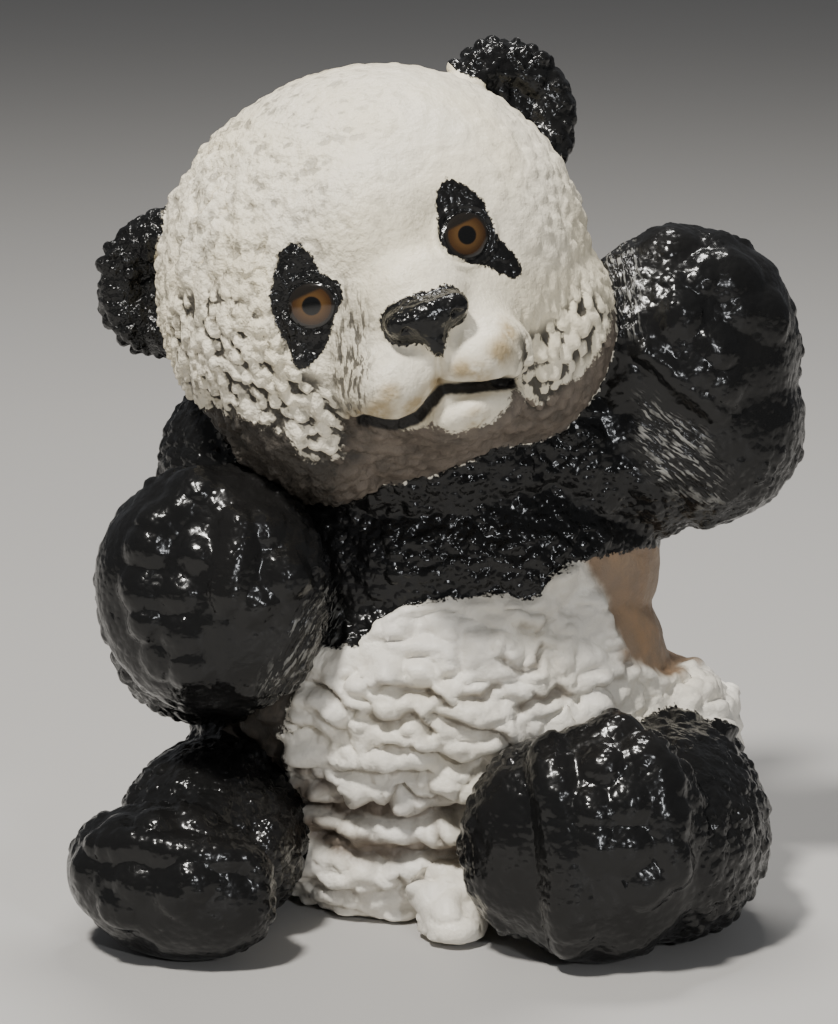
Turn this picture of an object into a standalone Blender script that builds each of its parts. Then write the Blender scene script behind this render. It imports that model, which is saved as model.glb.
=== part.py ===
"""A sitting panda cub figurine, cast in one piece and painted.

The figure is blocked out from ellipsoids, fused into one skin, and then carved by moving the
skin's points: face, paw pads, the undercut rows of wool on the belly and the tufts elsewhere.
Every place and size is in hundredths of the figure's height, except where a name says otherwise.
+Z is up, the cub faces -Y, and the origin is on the floor under the middle of the figure.
"""

import math

import bmesh
import bpy
import numpy as np
from mathutils import Euler, Matrix, Vector, kdtree
from mathutils.bvhtree import BVHTree

HEIGHT = 0.045  # metres, from the floor to the top of the higher ear

SKIN_VOXEL = 0.72
SKIN_SMOOTHING = 12  # passes of the smoothing that fills the creases between lumps
MOST_TRIANGLES = 9400
CARE, CARE_FORCE = 0.6, 0.04  # how much closer together the points of the face stay
CARE_SHADES = 10
LUMP_SEGMENTS = 48

FLOOR_CUT = 0.0
FLOOR_BLOCK = 200.0  # the side of the block that cuts the underside flat
SEED = 7

# The side that the cub shows: how far above level it is seen from, and from how far away.
VIEW_TILT = 12.0
VIEW_DISTANCE = 444.0
VIEW_CENTRE = (-1.6, 43.8)

# Frames: where a group of lumps stands, and how it is turned, in degrees about X, Y and Z.
HEAD_PLACE = (-5.8, -6.0, 74.3)
HEAD_PITCH, HEAD_ROLL, HEAD_YAW = -8.0, -25.0, 4.5
HAND_PLACE = (-24.4, -15.0, 39.2)
HAND_TURN = (-8.0, -28.0, -14.0)
WAVE_PLACE = (29.0, -1.0, 60.4)
WAVE_TURN = (-8.0, -6.0, 14.0)
RIGHT_SOLE_PLACE = (16.0, -25.5, 13.4)
RIGHT_SOLE_TURN = (-4.0, 8.0, -10.0)
LEFT_SOLE_PLACE = (-29.0, -23.5, 8.2)
LEFT_SOLE_TURN = (-24.0, -84.0, -4.0)

# Lumps: centre, radii, and turn about X, Y and Z.
TORSO = (
    ((4.5, 5.0, 14.5), (25.5, 21.0, 18.5), (0, 0, 0)),
    ((2.0, -0.5, 26.0), (25.0, 18.5, 20.0), (0, 0, 0)),
    ((1.5, 1.0, 40.0), (24.5, 17.0, 16.0), (0, 4, 0)),
    ((-1.0, 0.5, 52.0), (20.0, 15.5, 12.0), (0, 0, 0)),
    ((-4.5, -4.0, 9.0), (12.6, 10.5, 13.0), (0, 0, 0)),
    ((22.5, 1.0, 17.5), (12.6, 12.0, 11.0), (0, 0, 0)),
    ((1.4, -13.0, 4.0), (3.4, 9.0, 3.6), (20, 0, 6)),
    ((1.0, 25.5, 9.0), (6.0, 4.5, 6.0), (0, 0, 0)),
)
LEFT_ARM = (
    ((-19.0, 4.0, 48.5), (12.4, 12.5, 13.5), (0, 14, 0)),
    ((-24.5, 1.5, 36.0), (10.0, 10.5, 13.0), (0, 4, 0)),
    ((-26.0, -5.5, 31.0), (10.0, 11.0, 9.0), (-20, 0, 0)),
)
RIGHT_ARM = (
    ((15.5, 1.5, 52.0), (12.0, 12.0, 12.0), (0, 0, 0)),
    ((22.5, 0.5, 53.2), (11.0, 10.0, 11.5), (0, -10, 0)),
)
RIGHT_LEG = (
    ((20.5, -4.0, 13.0), (15.5, 15.0, 12.5), (0, 0, 0)),
    ((25.2, -13.5, 11.2), (12.4, 17.0, 12.2), (0, 0, -6)),
)
LEFT_LEG = (
    ((-18.0, 3.0, 13.0), (11.0, 12.0, 12.0), (0, 0, 0)),
    ((-25.0, -10.0, 9.5), (10.5, 13.0, 10.5), (0, 0, 6)),
)
HEAD = (
    ((-1.0, 1.5, -1.2), (24.0, 23.2, 23.3), (0, 0, 0)),
    ((-12.0, -1.5, -9.0), (11.4, 14.0, 13.0), (0, 0, 0)),
    ((8.0, -0.5, -11.5), (13.6, 14.0, 13.4), (0, 0, 0)),
    ((-0.8, -14.5, -10.0), (11.0, 10.5, 8.6), (0, 0, 0)),
    ((0.2, -17.5, -4.5), (7.0, 8.0, 7.0), (0, 0, 0)),
    ((-0.5, -13.5, 3.5), (9.0, 9.0, 10.0), (0, 0, 0)),
    ((-5.0, -19.4, -11.0), (6.0, 5.8, 4.7), (0, -8, 0)),
    ((3.6, -19.4, -12.0), (6.0, 5.8, 4.7), (0, 8, 0)),
    ((0.6, -18.0, -17.0), (6.2, 5.0, 3.6), (0, 8, 0)),
)
NOSE = (
    ((-1.9, -25.4, -5.9), (2.5, 2.4, 1.9), (0, 6, 0)),
    ((2.9, -25.4, -6.4), (2.5, 2.4, 1.9), (0, 6, 0)),
    ((0.5, -25.9, -6.2), (3.4, 2.4, 2.0), (0, 6, 0)),
    ((0.1, -25.2, -8.8), (1.5, 2.2, 2.4), (0, 0, 0)),
)
LEFT_EAR_PLACE = (-22.1, 7.5, 7.5)
RIGHT_EAR_PLACE = (20.4, 7.5, 8.7)
EAR_TURN = 22.0
EAR_RIM_RADIUS, EAR_RIM_THICKNESS = 5.6, 2.7
EAR_RIM_BEADS = 18
EAR_BACK = ((0.0, 1.8, 0.0), (7.2, 3.0, 7.2), (0, 0, 0))
HAND = (((0, 0, 0), (13.4, 8.4, 13.8), (0, 0, 0)),)
WAVING_HAND = (
    ((0, 0, 3.4), (13.2, 9.0, 13.8), (0, 0, 0)),
    ((1.0, 1.5, -5.6), (11.8, 9.4, 11.2), (0, 0, 0)),
)
RIGHT_SOLE = (
    ((2.2, 0, 0.4), (11.4, 7.6, 13.6), (0, 0, 0)),
    ((-4.6, 1.5, -1.0), (8.6, 7.6, 11.0), (0, 0, 0)),
)
LEFT_SOLE = (((0, 0, 0), (8.4, 7.6, 12.6), (0, 0, 0)),)

# Tufts of wool: how far apart, how long, how wide to each side, how high.
BELLY_TUFTS = (3.3, 5.6, 3.3, 1.5)
CHEEK_TUFTS = (2.9, 4.6, 2.3, 1.0)
LIMB_TUFTS = (3.6, 5.0, 2.6, 0.55)
CROWN_TUFTS = (3.4, 4.6, 2.6, 0.25)
TUFT_STRAY = 0.45  # how far a tuft's lie strays from its neighbours'
TUFT_SIZES = (0.8, 1.2)
TUFT_CREST = 0.8  # where along its length a tuft is highest
TUFT_TAPER = 0.35  # where along its length a tuft starts to narrow
MUZZLE = (-0.5, -30.0, -4.0)  # where the hair of the head grows away from: across, back, up
FACE_CENTRE, FACE_RADII, FACE_BLEND = (-0.8, -4.0), (15.0, 18.5), (0.8, 1.0)
CHEEK_START = (2.0, 8.0)  # how far below the middle of the head the deep tufts start
EDGE_BLEND = (-0.6, 0.5)  # over what distance one kind of wool passes into another
FRONT_START = (-3.0, 1.0)  # how far forward of the middle the rows of the belly start
FLOOR_BLEND = (0.5, 2.0)  # over what height the carving comes in above the floor

# Rows of wool on the belly, cut under from below, as seen: a line, how thick, how deep.
LEDGES = (
    (((-5.9, 23.9), (-3.4, 23.3), (-0.2, 23.3), (0.8, 22.4), (1.8, 21.4)), 0.9, 1.3),
    (((-13.4, 24.2), (-11.6, 23.5), (-10.2, 22.3), (-9.0, 21.2)), 0.7, 1.0),
    (((-6.8, 20.3), (-5.2, 19.5), (-3.6, 19.9), (-2.4, 20.8), (-1.2, 19.8), (0.0, 18.5)), 0.9, 1.2),
    (((0.3, 20.5), (2.0, 19.6), (4.2, 19.2), (5.8, 18.8), (7.6, 18.5), (9.2, 16.8)), 0.9, 1.3),
    (((-5.2, 17.1), (-3.5, 16.7), (-1.8, 16.9), (0.3, 16.0), (2.4, 15.0), (4.1, 14.6)), 0.7, 1.2),
    (((4.1, 14.6), (5.5, 15.2), (6.5, 16.0), (9.5, 16.6)), 0.7, 1.1),
    (((-15.2, 15.0), (-13.5, 13.8), (-12.2, 12.9), (-10.8, 12.3)), 1.2, 1.1),
    (((-10.6, 14.3), (-8.3, 14.5), (-5.2, 14.2), (-3.0, 14.1), (-0.6, 14.2)), 0.8, 1.1),
    (((-15.0, 12.0), (-12.8, 10.3), (-10.0, 9.7), (-6.6, 9.9), (-4.9, 9.6)), 2.2, 1.8),
    (((-4.9, 9.6), (-3.1, 8.8), (-0.4, 9.2), (2.0, 9.7), (5.0, 10.2)), 1.5, 1.6),
    (((-5.0, 10.8), (-4.3, 12.3), (-3.3, 12.4), (-1.8, 11.4), (0.0, 10.8), (1.8, 11.6)), 0.6, 1.0),
    (((-13.4, 6.8), (-11.4, 5.8), (-9.4, 4.9), (-7.0, 4.4), (-4.5, 4.7)), 2.3, 1.7),
    (((-4.5, 4.7), (-2.8, 5.1), (-0.4, 5.1), (3.6, 4.7)), 1.7, 1.5),
    (((-4.0, 1.7), (-2.8, 0.7), (-0.9, 0.9)), 0.8, 0.9),
    (((-13.6, 1.6), (-11.4, 0.3), (-8.0, -0.4), (-4.4, 0.3)), 0.9, 0.7),
    (((7.8, 27.0), (9.3, 25.5), (10.7, 25.2), (11.6, 26.0), (12.2, 28.0)), 0.7, 1.0),
    (((9.8, 30.5), (12.0, 29.8), (13.2, 31.2)), 0.6, 0.9),
    (((3.6, 22.7), (5.6, 22.3), (7.3, 23.7)), 0.8, 0.8),
    (((10.2, 21.3), (11.4, 22.2), (12.9, 22.5), (13.9, 23.3), (15.0, 23.0)), 0.9, 0.9),
    (((-15.5, 20.4), (-14.6, 19.2), (-13.0, 18.9)), 0.6, 0.9),
    (((-12.8, 21.4), (-11.6, 20.0), (-10.6, 18.9)), 0.6, 0.9),
    (((18.6, 23.6), (20.2, 23.9), (21.5, 25.0), (22.0, 26.4)), 0.7, 0.9),
    (((0.2, 8.5), (1.0, 6.9), (2.6, 5.8)), 0.8, 1.0),
)
LIP_SHARE = 0.5  # how far a row swells above its cut, as a share of the cut's depth
LIP_RISE, LIP_SPAN, LIP_END = 0.7, 1.8, 1.6  # the lip's crest above the cut, its half width, its ends
LIP_REACH = 4.5
CUT_FLAT = 0.15  # the share of a cut that lies at its full depth
CUT_REACH = (0.62, 1.6)  # how far a cut runs above and below its line, as shares of its thickness
ROW_WANDER, ROW_WANDER_SIZE = 0.4, 1.3  # how far the rows wander, and over what distance
WANDER_SEEDS = (11, 12)
BELLY_LUMPS = ((3.4, 0.5), (1.6, 0.24))  # broad and small swellings between the rows: size, rise
FOLD_SIZE, FOLD_RISE, FOLD_ROUNDNESS = 3.2, 1.5, 0.7  # rounded folds with creases between them
FOLD_SEED = 21
LUMP_FLATNESS = (1.0, 1.0, 1.5)  # the swellings are less tall than wide
FRONT_TUFTS = 0.2  # the share of the tufts' height that is left between the rows

# The front of the belly, as seen: across and up.
BELLY_OUTLINE = (
    (-12.5, 27.9), (-8.4, 27.9), (-6.3, 31.0), (-2.8, 32.7), (0.3, 33.6), (3.8, 33.6), (7.2, 34.5),
    (10.3, 33.6), (12.8, 34.5), (13.5, 36.2), (15.9, 37.6), (16.5, 37.8), (19.0, 33.8), (20.7, 29.3),
    (22.1, 26.2), (25.9, 24.4), (27.7, 24.2), (30.1, 25.8), (38.0, 28.0), (38.0, 20.0), (33.5, 20.8),
    (30.1, 21.0), (28.4, 21.5), (24.9, 19.9), (22.4, 18.5), (14.8, 17.3), (7.8, 10.3), (7.0, 4.5),
    (7.0, -2.9), (5.5, -4.2), (1.4, -9.0), (-2.7, -6.0), (-3.5, -6.0), (-11.5, -6.0), (-17.0, -4.0),
    (-17.2, -0.3), (-15.5, 2.7), (-14.4, 6.7), (-15.1, 9.5), (-16.5, 15.1), (-15.8, 19.9),
    (-14.8, 24.1), (-13.7, 26.2),
)

# Places on the face are across and up from the middle of the head.
FACE_START, FACE_FULL = 10.0, 14.0  # how far forward of the head's middle the face is carved
CARE_CENTRE, CARE_RADIUS, CARE_BLEND = (-0.8, -6.0), 16.0, (-1.0, -0.8)
CARE_FORWARD = (8.0, 12.0)
EYES = ((-9.8, -0.4), (8.3, -0.6))
EYEBALL_RADIUS, EYEBALL_RISE = 2.9, 1.3
SOCKET_RADII, SOCKET_LEAN, SOCKET_DEPTH = (4.4, 6.6), 24.0, 1.5
LID_RADIUS, LID_WIDTH, LID_RISE = 3.6, 0.8, 0.35
MOUTH = (
    (-9.9, -13.7), (-7.1, -15.7), (-4.4, -15.8), (-1.9, -14.4), (-1.1, -14.1), (2.3, -15.4), (5.9, -16.8),
)
MOUTH_WIDTH, MOUTH_DEPTH = 1.2, 2.0
PHILTRUM = ((-0.3, -10.8), (-1.2, -13.8))
PHILTRUM_WIDTH, PHILTRUM_DEPTH = 0.7, 0.8
NOSTRILS = ((-2.4, -6.9), (3.2, -7.4))
NOSTRIL_RADIUS, NOSTRIL_DEPTH = 1.2, 0.8
PUFF_FALL = 1.3  # how gently the lobes run out at their edges
# The lobes of the muzzle and the lower lip: across, up, two radii, rise.
PUFFS = (
    (-5.6, -11.4, 5.0, 4.0, 1.5), (3.3, -12.7, 4.6, 3.2, 1.3), (0.4, -17.3, 4.6, 1.7, 1.2),
)

# Bumps and ridges on paws and soles, placed as seen: across, up, radius, rise.
BUMP_SPREAD, BUMP_RISE = 1.15, 1.3  # how much wider and higher than listed the bumps stand
BUMPS = (
    (-28.3, 47.0, 2.9, 1.1), (-30.0, 44.6, 2.6, 0.9), (-31.8, 42.8, 2.6, 0.9), (-33.2, 39.6, 2.6, 1.0),
    (-34.0, 34.8, 2.8, 1.0), (-33.6, 30.8, 2.2, 0.8), (-29.2, 29.4, 2.4, 0.8), (-28.2, 25.4, 2.6, 0.9),
    (-32.0, 26.4, 2.2, 0.7), (-29.8, 34.2, 2.2, 0.8), (-27.8, 39.0, 2.0, 0.7), (-19.6, 42.6, 2.6, 0.9),
    (-16.8, 36.4, 2.6, 0.8), (-20.6, 33.0, 2.4, 0.7), (21.8, 76.0, 3.0, 1.0), (27.4, 75.4, 3.0, 1.0),
    (35.0, 71.2, 3.4, 1.2), (39.2, 66.6, 3.0, 1.0), (32.4, 71.6, 2.6, 0.9), (36.8, 67.4, 2.6, 0.9),
    (28.8, 66.6, 2.4, 0.8), (33.2, 63.0, 2.4, 0.8), (30.6, 59.8, 2.2, 0.7), (33.6, 58.0, 2.2, 0.7),
    (-37.2, 7.0, 2.6, 0.9), (-32.2, 7.8, 2.6, 0.9), (-28.0, 8.4, 2.4, 0.9), (-25.6, 8.8, 2.2, 0.7),
    (-18.4, 5.2, 2.8, 1.0), (-41.0, 2.8, 2.4, 0.8), (-35.0, 0.6, 2.2, 0.7), (-36.6, -2.8, 2.4, 0.7),
    (-28.2, 1.0, 2.4, 0.8), (-30.0, -0.8, 2.2, 0.7), (-20.6, 3.2, 2.4, 0.8), (17.8, 19.6, 2.8, 1.2),
    (14.8, 18.2, 2.4, 0.9), (21.6, 19.2, 2.4, 0.9), (25.0, 16.0, 2.6, 0.9), (27.0, 12.2, 2.6, 0.8),
    (19.6, 14.6, 2.2, 0.8), (18.2, 9.4, 2.4, 0.8), (18.4, 4.8, 2.4, 0.8), (23.0, 10.2, 2.4, 0.8),
    (23.0, 4.4, 2.4, 0.8), (25.0, 0.0, 2.6, 0.8), (28.4, 8.0, 2.6, 0.9),
)
RIDGE_STEPS = 14
PALM_EDGE, PALM_FACING = (-1.35, -1.2), (0.0, 0.35)  # how the wool gives way to a bare palm
RIDGES = (
    ((-22.6, 42.0), (-23.6, 34.6), 2.4, 1.3),
    ((24.9, 62.2), (33.0, 55.4), 1.4, 0.7),
    ((13.2, 16.0), (16.2, -6.4), 2.6, 1.3),
    ((26.4, 14.4), (28.4, 2.0), 2.0, 0.8),
    ((-39.0, 5.6), (-21.0, 3.6), 1.9, 1.0),
)


def turned(place, turn):
    """The matrix of a frame at a place, turned about X, Y and Z in degrees."""
    angles = Euler([math.radians(a) for a in turn], "XYZ")
    return Matrix.Translation(place) @ angles.to_matrix().to_4x4()


def head_frame():
    """The head leans to one side first, then looks aside, then looks up."""
    pitch = Matrix.Rotation(math.radians(HEAD_PITCH), 4, "X")
    yaw = Matrix.Rotation(math.radians(HEAD_YAW), 4, "Z")
    roll = Matrix.Rotation(math.radians(HEAD_ROLL), 4, "Y")
    return Matrix.Translation(HEAD_PLACE) @ pitch @ yaw @ roll


def ball():
    """A sphere of radius one, the stuff of every lump."""
    form = bmesh.new()
    bmesh.ops.create_uvsphere(
        form, u_segments=LUMP_SEGMENTS, v_segments=LUMP_SEGMENTS // 2, radius=1
    )
    mesh = bpy.data.meshes.new("ball")
    form.to_mesh(mesh)
    form.free()
    return mesh


def add_lumps(clay, frame, lumps):
    """Adds ellipsoids to the clay. Each lump is a centre, three radii and a turn."""
    for centre, radii, turn in lumps:
        lump = ball()
        lump.transform(frame @ turned(centre, turn) @ Matrix.Diagonal((*radii, 1)))
        clay.from_mesh(lump)
        bpy.data.meshes.remove(lump)


def ear_lumps(place, turn):
    """A cupped ear in its own frame: a ring of beads for the rim, and a flat lump for its back."""
    ear = head_frame() @ turned(place, (0, 0, turn))
    beads = []
    for k in range(EAR_RIM_BEADS):
        angle = 2 * math.pi * k / EAR_RIM_BEADS
        centre = (EAR_RIM_RADIUS * math.cos(angle), 0, EAR_RIM_RADIUS * math.sin(angle))
        beads.append((centre, (EAR_RIM_THICKNESS,) * 3, (0, 0, 0)))
    return [(ear, (*beads, EAR_BACK))]


def groups():
    """The lumps of the whole figure by the part of the body they belong to, each with a frame."""
    body = Matrix.Identity(4)
    head = head_frame()
    return {
        "torso": [(body, TORSO)],
        "left_arm": [(body, LEFT_ARM), (turned(HAND_PLACE, HAND_TURN), HAND)],
        "right_arm": [(body, RIGHT_ARM), (turned(WAVE_PLACE, WAVE_TURN), WAVING_HAND)],
        "right_leg": [(body, RIGHT_LEG), (turned(RIGHT_SOLE_PLACE, RIGHT_SOLE_TURN), RIGHT_SOLE)],
        "left_leg": [(body, LEFT_LEG), (turned(LEFT_SOLE_PLACE, LEFT_SOLE_TURN), LEFT_SOLE)],
        "head": [(head, HEAD), (head, NOSE)],
        "left_ear": ear_lumps(LEFT_EAR_PLACE, -EAR_TURN),
        "right_ear": ear_lumps(RIGHT_EAR_PLACE, EAR_TURN),
    }


def nearness(points, group):
    """How far outside a group of lumps each point lies, roughly; negative is inside."""
    best = np.full(len(points), np.inf)
    for around, lumps in group:
        for centre, radii, turn in lumps:
            place = np.array(around @ turned(centre, turn))
            local = (points - place[:3, 3]) @ place[:3, :3] / np.array(radii)
            reach = np.linalg.norm(local, axis=1)
            best = np.minimum(best, (reach - 1) * min(radii))
    return best


def blocked_out():
    """The whole figure as overlapping lumps, which are not yet one skin."""
    clay = bmesh.new()
    for group in groups().values():
        for around, lumps in group:
            add_lumps(clay, around, lumps)
    mesh = bpy.data.meshes.new("panda")
    clay.to_mesh(mesh)
    clay.free()
    return mesh


def settle(figure):
    """Replaces the mesh by what its modifiers make of it, and drops the modifiers."""
    graph = bpy.context.evaluated_depsgraph_get()
    settled = bpy.data.meshes.new_from_object(figure.evaluated_get(graph))
    figure.modifiers.clear()
    figure.data = settled


def fuse(figure):
    """Melts the lumps into one closed skin and softens the creases between them."""
    fusing = figure.modifiers.new("fuse", "REMESH")
    fusing.mode = "VOXEL"
    fusing.voxel_size = SKIN_VOXEL
    softening = figure.modifiers.new("soften", "SMOOTH")
    softening.factor = 0.5
    softening.iterations = SKIN_SMOOTHING
    settle(figure)


class Skin:
    """The points of the fused skin as arrays, and ways to push them in and out."""

    def __init__(self, mesh):
        self.mesh = mesh
        self.points = np.empty(len(mesh.vertices) * 3)
        mesh.vertices.foreach_get("co", self.points)
        self.points = self.points.reshape(-1, 3)
        self.read_normals()
        self.tree = kdtree.KDTree(len(self.points))
        for k, point in enumerate(self.points):
            self.tree.insert(point, k)
        self.tree.balance()
        faces = [face.vertices[:] for face in mesh.polygons]
        self.faces = BVHTree.FromPolygons(self.points.tolist(), faces)

    def read_normals(self):
        """Takes the directions that the skin faces from the mesh as it is now."""
        normals = np.empty(len(self.mesh.vertices) * 3)
        self.mesh.vertices.foreach_get("normal", normals)
        self.normals = normals.reshape(-1, 3)

    def write(self):
        """Puts the points back into the mesh."""
        self.mesh.vertices.foreach_set("co", self.points.ravel())
        self.mesh.update()
        self.read_normals()

    def lift(self, heights):
        """Moves each point out along the skin's own direction."""
        self.points += self.normals * heights[:, None]
        self.write()

    def near(self, place, reach):
        """The indices of points within reach of a place."""
        return np.array([k for _, k, _ in self.tree.find_range(place, reach)], dtype=int)

    def seen(self, across, up):
        """The point of the skin behind a spot of the view that the cub shows."""
        tilt = math.radians(VIEW_TILT)
        right = Vector((1, 0, 0))
        rise = Vector((0, math.sin(tilt), math.cos(tilt)))
        toward = Vector((0, -math.cos(tilt), math.sin(tilt)))
        middle = right * VIEW_CENTRE[0] + rise * VIEW_CENTRE[1]
        eye = middle + toward * VIEW_DISTANCE
        spot = right * across + rise * up
        hit = self.faces.ray_cast(eye, (spot - eye).normalized())[0]
        return hit or self.faces.find_nearest(spot)[0]


def soft(share):
    """One at zero, falling smoothly to nothing at one."""
    return np.clip(1 - share**2, 0, 1) ** 2


def from_line(spots, line):
    """The distance of flat spots from a line of several straight parts."""
    best = np.full(len(spots), np.inf)
    for start, stop in zip(line[:-1], line[1:]):
        start, along = np.array(start), np.array(stop) - np.array(start)
        share = np.clip((spots - start) @ along / (along @ along), 0, 1)
        best = np.minimum(best, np.linalg.norm(spots - start - share[:, None] * along, axis=1))
    return best


def scatter(places, apart):
    """The indices of places that stand at least so far apart, in a fixed shuffled order."""
    order = np.random.default_rng(SEED).permutation(len(places))
    kept = []
    cells = {}
    for k in order:
        cell = tuple(np.floor(places[k] / apart).astype(int))
        around = [
            near
            for dx in (-1, 0, 1)
            for dy in (-1, 0, 1)
            for dz in (-1, 0, 1)
            for near in cells.get((cell[0] + dx, cell[1] + dy, cell[2] + dz), ())
        ]
        if all(np.linalg.norm(places[k] - places[near]) >= apart for near in around):
            kept.append(k)
            cells.setdefault(cell, []).append(k)
    return np.array(kept, dtype=int)


def grow_tufts(skin, where, lie, form):
    """Heights of overlapping tufts, each rising along its lie to a tip that drops off steeply."""
    apart, length, half_width, height = form
    chosen = np.flatnonzero(where > 0)
    roots = chosen[scatter(skin.points[chosen], apart)]
    chance = np.random.default_rng(SEED + len(roots))
    heights = np.zeros(len(skin.points))
    for root in roots:
        facing = skin.normals[root]
        along = lie[root] + chance.normal(0, TUFT_STRAY, 3)
        along -= facing * (along @ facing)
        along /= np.linalg.norm(along)
        aside = np.cross(facing, along)
        size = chance.uniform(*TUFT_SIZES)
        near = skin.near(skin.points[root], length * 0.7 * size)
        apart_by = skin.points[near] - skin.points[root]
        share = apart_by @ along / (length * size) + 0.5
        narrowing = (np.clip(share - TUFT_TAPER, 0, 1) / (1 - TUFT_TAPER)) ** 2
        width = half_width * size * np.sqrt(np.clip(1 - narrowing, 0.02, 1))
        across = apart_by @ aside / width
        dome = np.sqrt(np.clip(1 - across**2, 0, 1))
        rise = np.clip(share / TUFT_CREST, 0, 1) * np.clip((1 - share) / (1 - TUFT_CREST), 0, 1)
        heights[near] = np.maximum(heights[near], height * size * where[root] * dome * rise)
    return heights


def inside(spots, outline):
    """How far flat spots lie inside a closed outline; negative is outside."""
    closed = (*outline, outline[0])
    away = from_line(spots, closed)
    crossings = np.zeros(len(spots), dtype=int)
    for (ax, ay), (bx, by) in zip(closed[:-1], closed[1:]):
        spans = (ay > spots[:, 1]) != (by > spots[:, 1])
        slope = (bx - ax) / (by - ay) if by != ay else 0.0
        crossings += spans & (spots[:, 0] < ax + (spots[:, 1] - ay) * slope)
    return np.where(crossings % 2 == 1, away, -away)


def on_head(points):
    """The points as the head sees them: across, back and up from its middle."""
    place = np.array(head_frame())
    return (points - place[:3, 3]) @ place[:3, :3]


def as_seen(points):
    """Where the view that the cub shows finds each point: across and up."""
    tilt = math.radians(VIEW_TILT)
    x, y, z = points.T
    rise = y * math.sin(tilt) + z * math.cos(tilt)
    toward = z * math.sin(tilt) - y * math.cos(tilt)
    share = VIEW_DISTANCE / (VIEW_DISTANCE - toward)
    across = VIEW_CENTRE[0] + (x - VIEW_CENTRE[0]) * share
    up = VIEW_CENTRE[1] + (rise - VIEW_CENTRE[1]) * share
    return np.column_stack((across, up))


def value_noise(points, size, seed):
    """Smooth noise between -1 and 1 whose blotches are about so large."""
    spots = points / size + seed * 17.31
    low = np.floor(spots).astype(np.int64)
    share = spots - low
    share = share * share * (3 - 2 * share)
    total = np.zeros(len(points))
    for corner in range(8):
        offset = np.array((corner & 1, corner >> 1 & 1, corner >> 2 & 1))
        cell = low + offset
        mixed = cell[:, 0] * 73856093 ^ cell[:, 1] * 19349663 ^ cell[:, 2] * 83492791
        mixed = (mixed ^ (mixed >> 13)) * 1274126177 & 0x7FFFFFFF
        level = (mixed ^ (mixed >> 16)) / 0x7FFFFFFF * 2 - 1
        weight = np.prod(np.where(offset == 1, share, 1 - share), axis=1)
        total += weight * level
    return total


def step(values, start, stop):
    """Nothing before start, one after stop, and smooth between."""
    share = np.clip((values - start) / (stop - start), 0, 1)
    return share * share * (3 - 2 * share)


def palms(points):
    """One on the palms and the soles, nothing elsewhere."""
    most = np.zeros(len(points))
    for place, turn, lumps in (
        (HAND_PLACE, HAND_TURN, HAND),
        (WAVE_PLACE, WAVE_TURN, WAVING_HAND),
        (RIGHT_SOLE_PLACE, RIGHT_SOLE_TURN, RIGHT_SOLE),
        (LEFT_SOLE_PLACE, LEFT_SOLE_TURN, LEFT_SOLE),
    ):
        around = np.array(turned(place, turn))
        centre, radii, _ = lumps[0]
        local = (points - around[:3, 3]) @ around[:3, :3] - np.array(centre)
        local /= np.array(radii)
        within = step(-np.linalg.norm(local, axis=1), *PALM_EDGE)
        most = np.maximum(most, within * step(-local[:, 1], *PALM_FACING))
    return most


def regions(points):
    """How far each point is inside the head, an ear, a limb, and the foot of a leg."""
    parts = groups()
    near = {name: nearness(points, group) for name, group in parts.items()}
    legs = np.minimum(near["left_leg"], near["right_leg"])
    arms = np.minimum(near["left_arm"], near["right_arm"])
    shins = (Matrix.Identity(4), RIGHT_LEG[1:] + LEFT_LEG[1:])
    calves = [shins, parts["right_leg"][1], parts["left_leg"][1]]
    ears = np.minimum(near["left_ear"], near["right_ear"])
    trunk = np.minimum(near["head"], near["torso"])
    return {
        "head": np.minimum.reduce([near["torso"], arms, legs]) - near["head"],
        "ear": near["head"] - ears,
        "limb": trunk - np.minimum(arms, legs),
        "foot": trunk - nearness(points, calves),
    }


def carve_ledges(skin, where):
    """Cuts the rows of wool on the front of the belly."""
    seen = as_seen(skin.points)
    front = step(-skin.points[:, 1], *FRONT_START) * step(inside(seen, BELLY_OUTLINE), *EDGE_BLEND)
    front *= 1 - step(where["foot"], *EDGE_BLEND)
    wander = [value_noise(skin.points, ROW_WANDER_SIZE, seed) for seed in WANDER_SEEDS]
    spots = seen + ROW_WANDER * np.column_stack(wander)
    lips = np.zeros(len(spots))
    cuts = np.zeros(len(spots))
    for line, thick, depth in LEDGES:
        places, levels = np.array(line).T
        near = np.flatnonzero(from_line(spots, line) < LIP_REACH)
        across, up = spots[near].T
        away = from_line(spots[near], line) / thick
        above = up - np.interp(across, places, levels)
        cut = 1 - step(away / np.where(above > 0, *CUT_REACH), CUT_FLAT, 1)
        beyond = np.maximum(places[0] - across, across - places[-1])
        lip = soft((above - CUT_REACH[0] * thick - LIP_RISE) / LIP_SPAN) * (above > 0)
        lip *= soft(np.maximum(beyond, 0) / LIP_END)
        cuts[near] = np.maximum(cuts[near], depth * cut)
        lips[near] = np.maximum(lips[near], LIP_SHARE * depth * lip)
    heights = lips - cuts
    flat = skin.points * np.array(LUMP_FLATNESS)
    for seed, (size, rise) in enumerate(BELLY_LUMPS, start=3):
        heights += rise * value_noise(flat, size, seed)
    heights += FOLD_RISE * np.abs(value_noise(flat, FOLD_SIZE, FOLD_SEED)) ** FOLD_ROUNDNESS
    skin.lift(heights * front * step(skin.points[:, 2], *FLOOR_BLEND))
    return front


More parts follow.
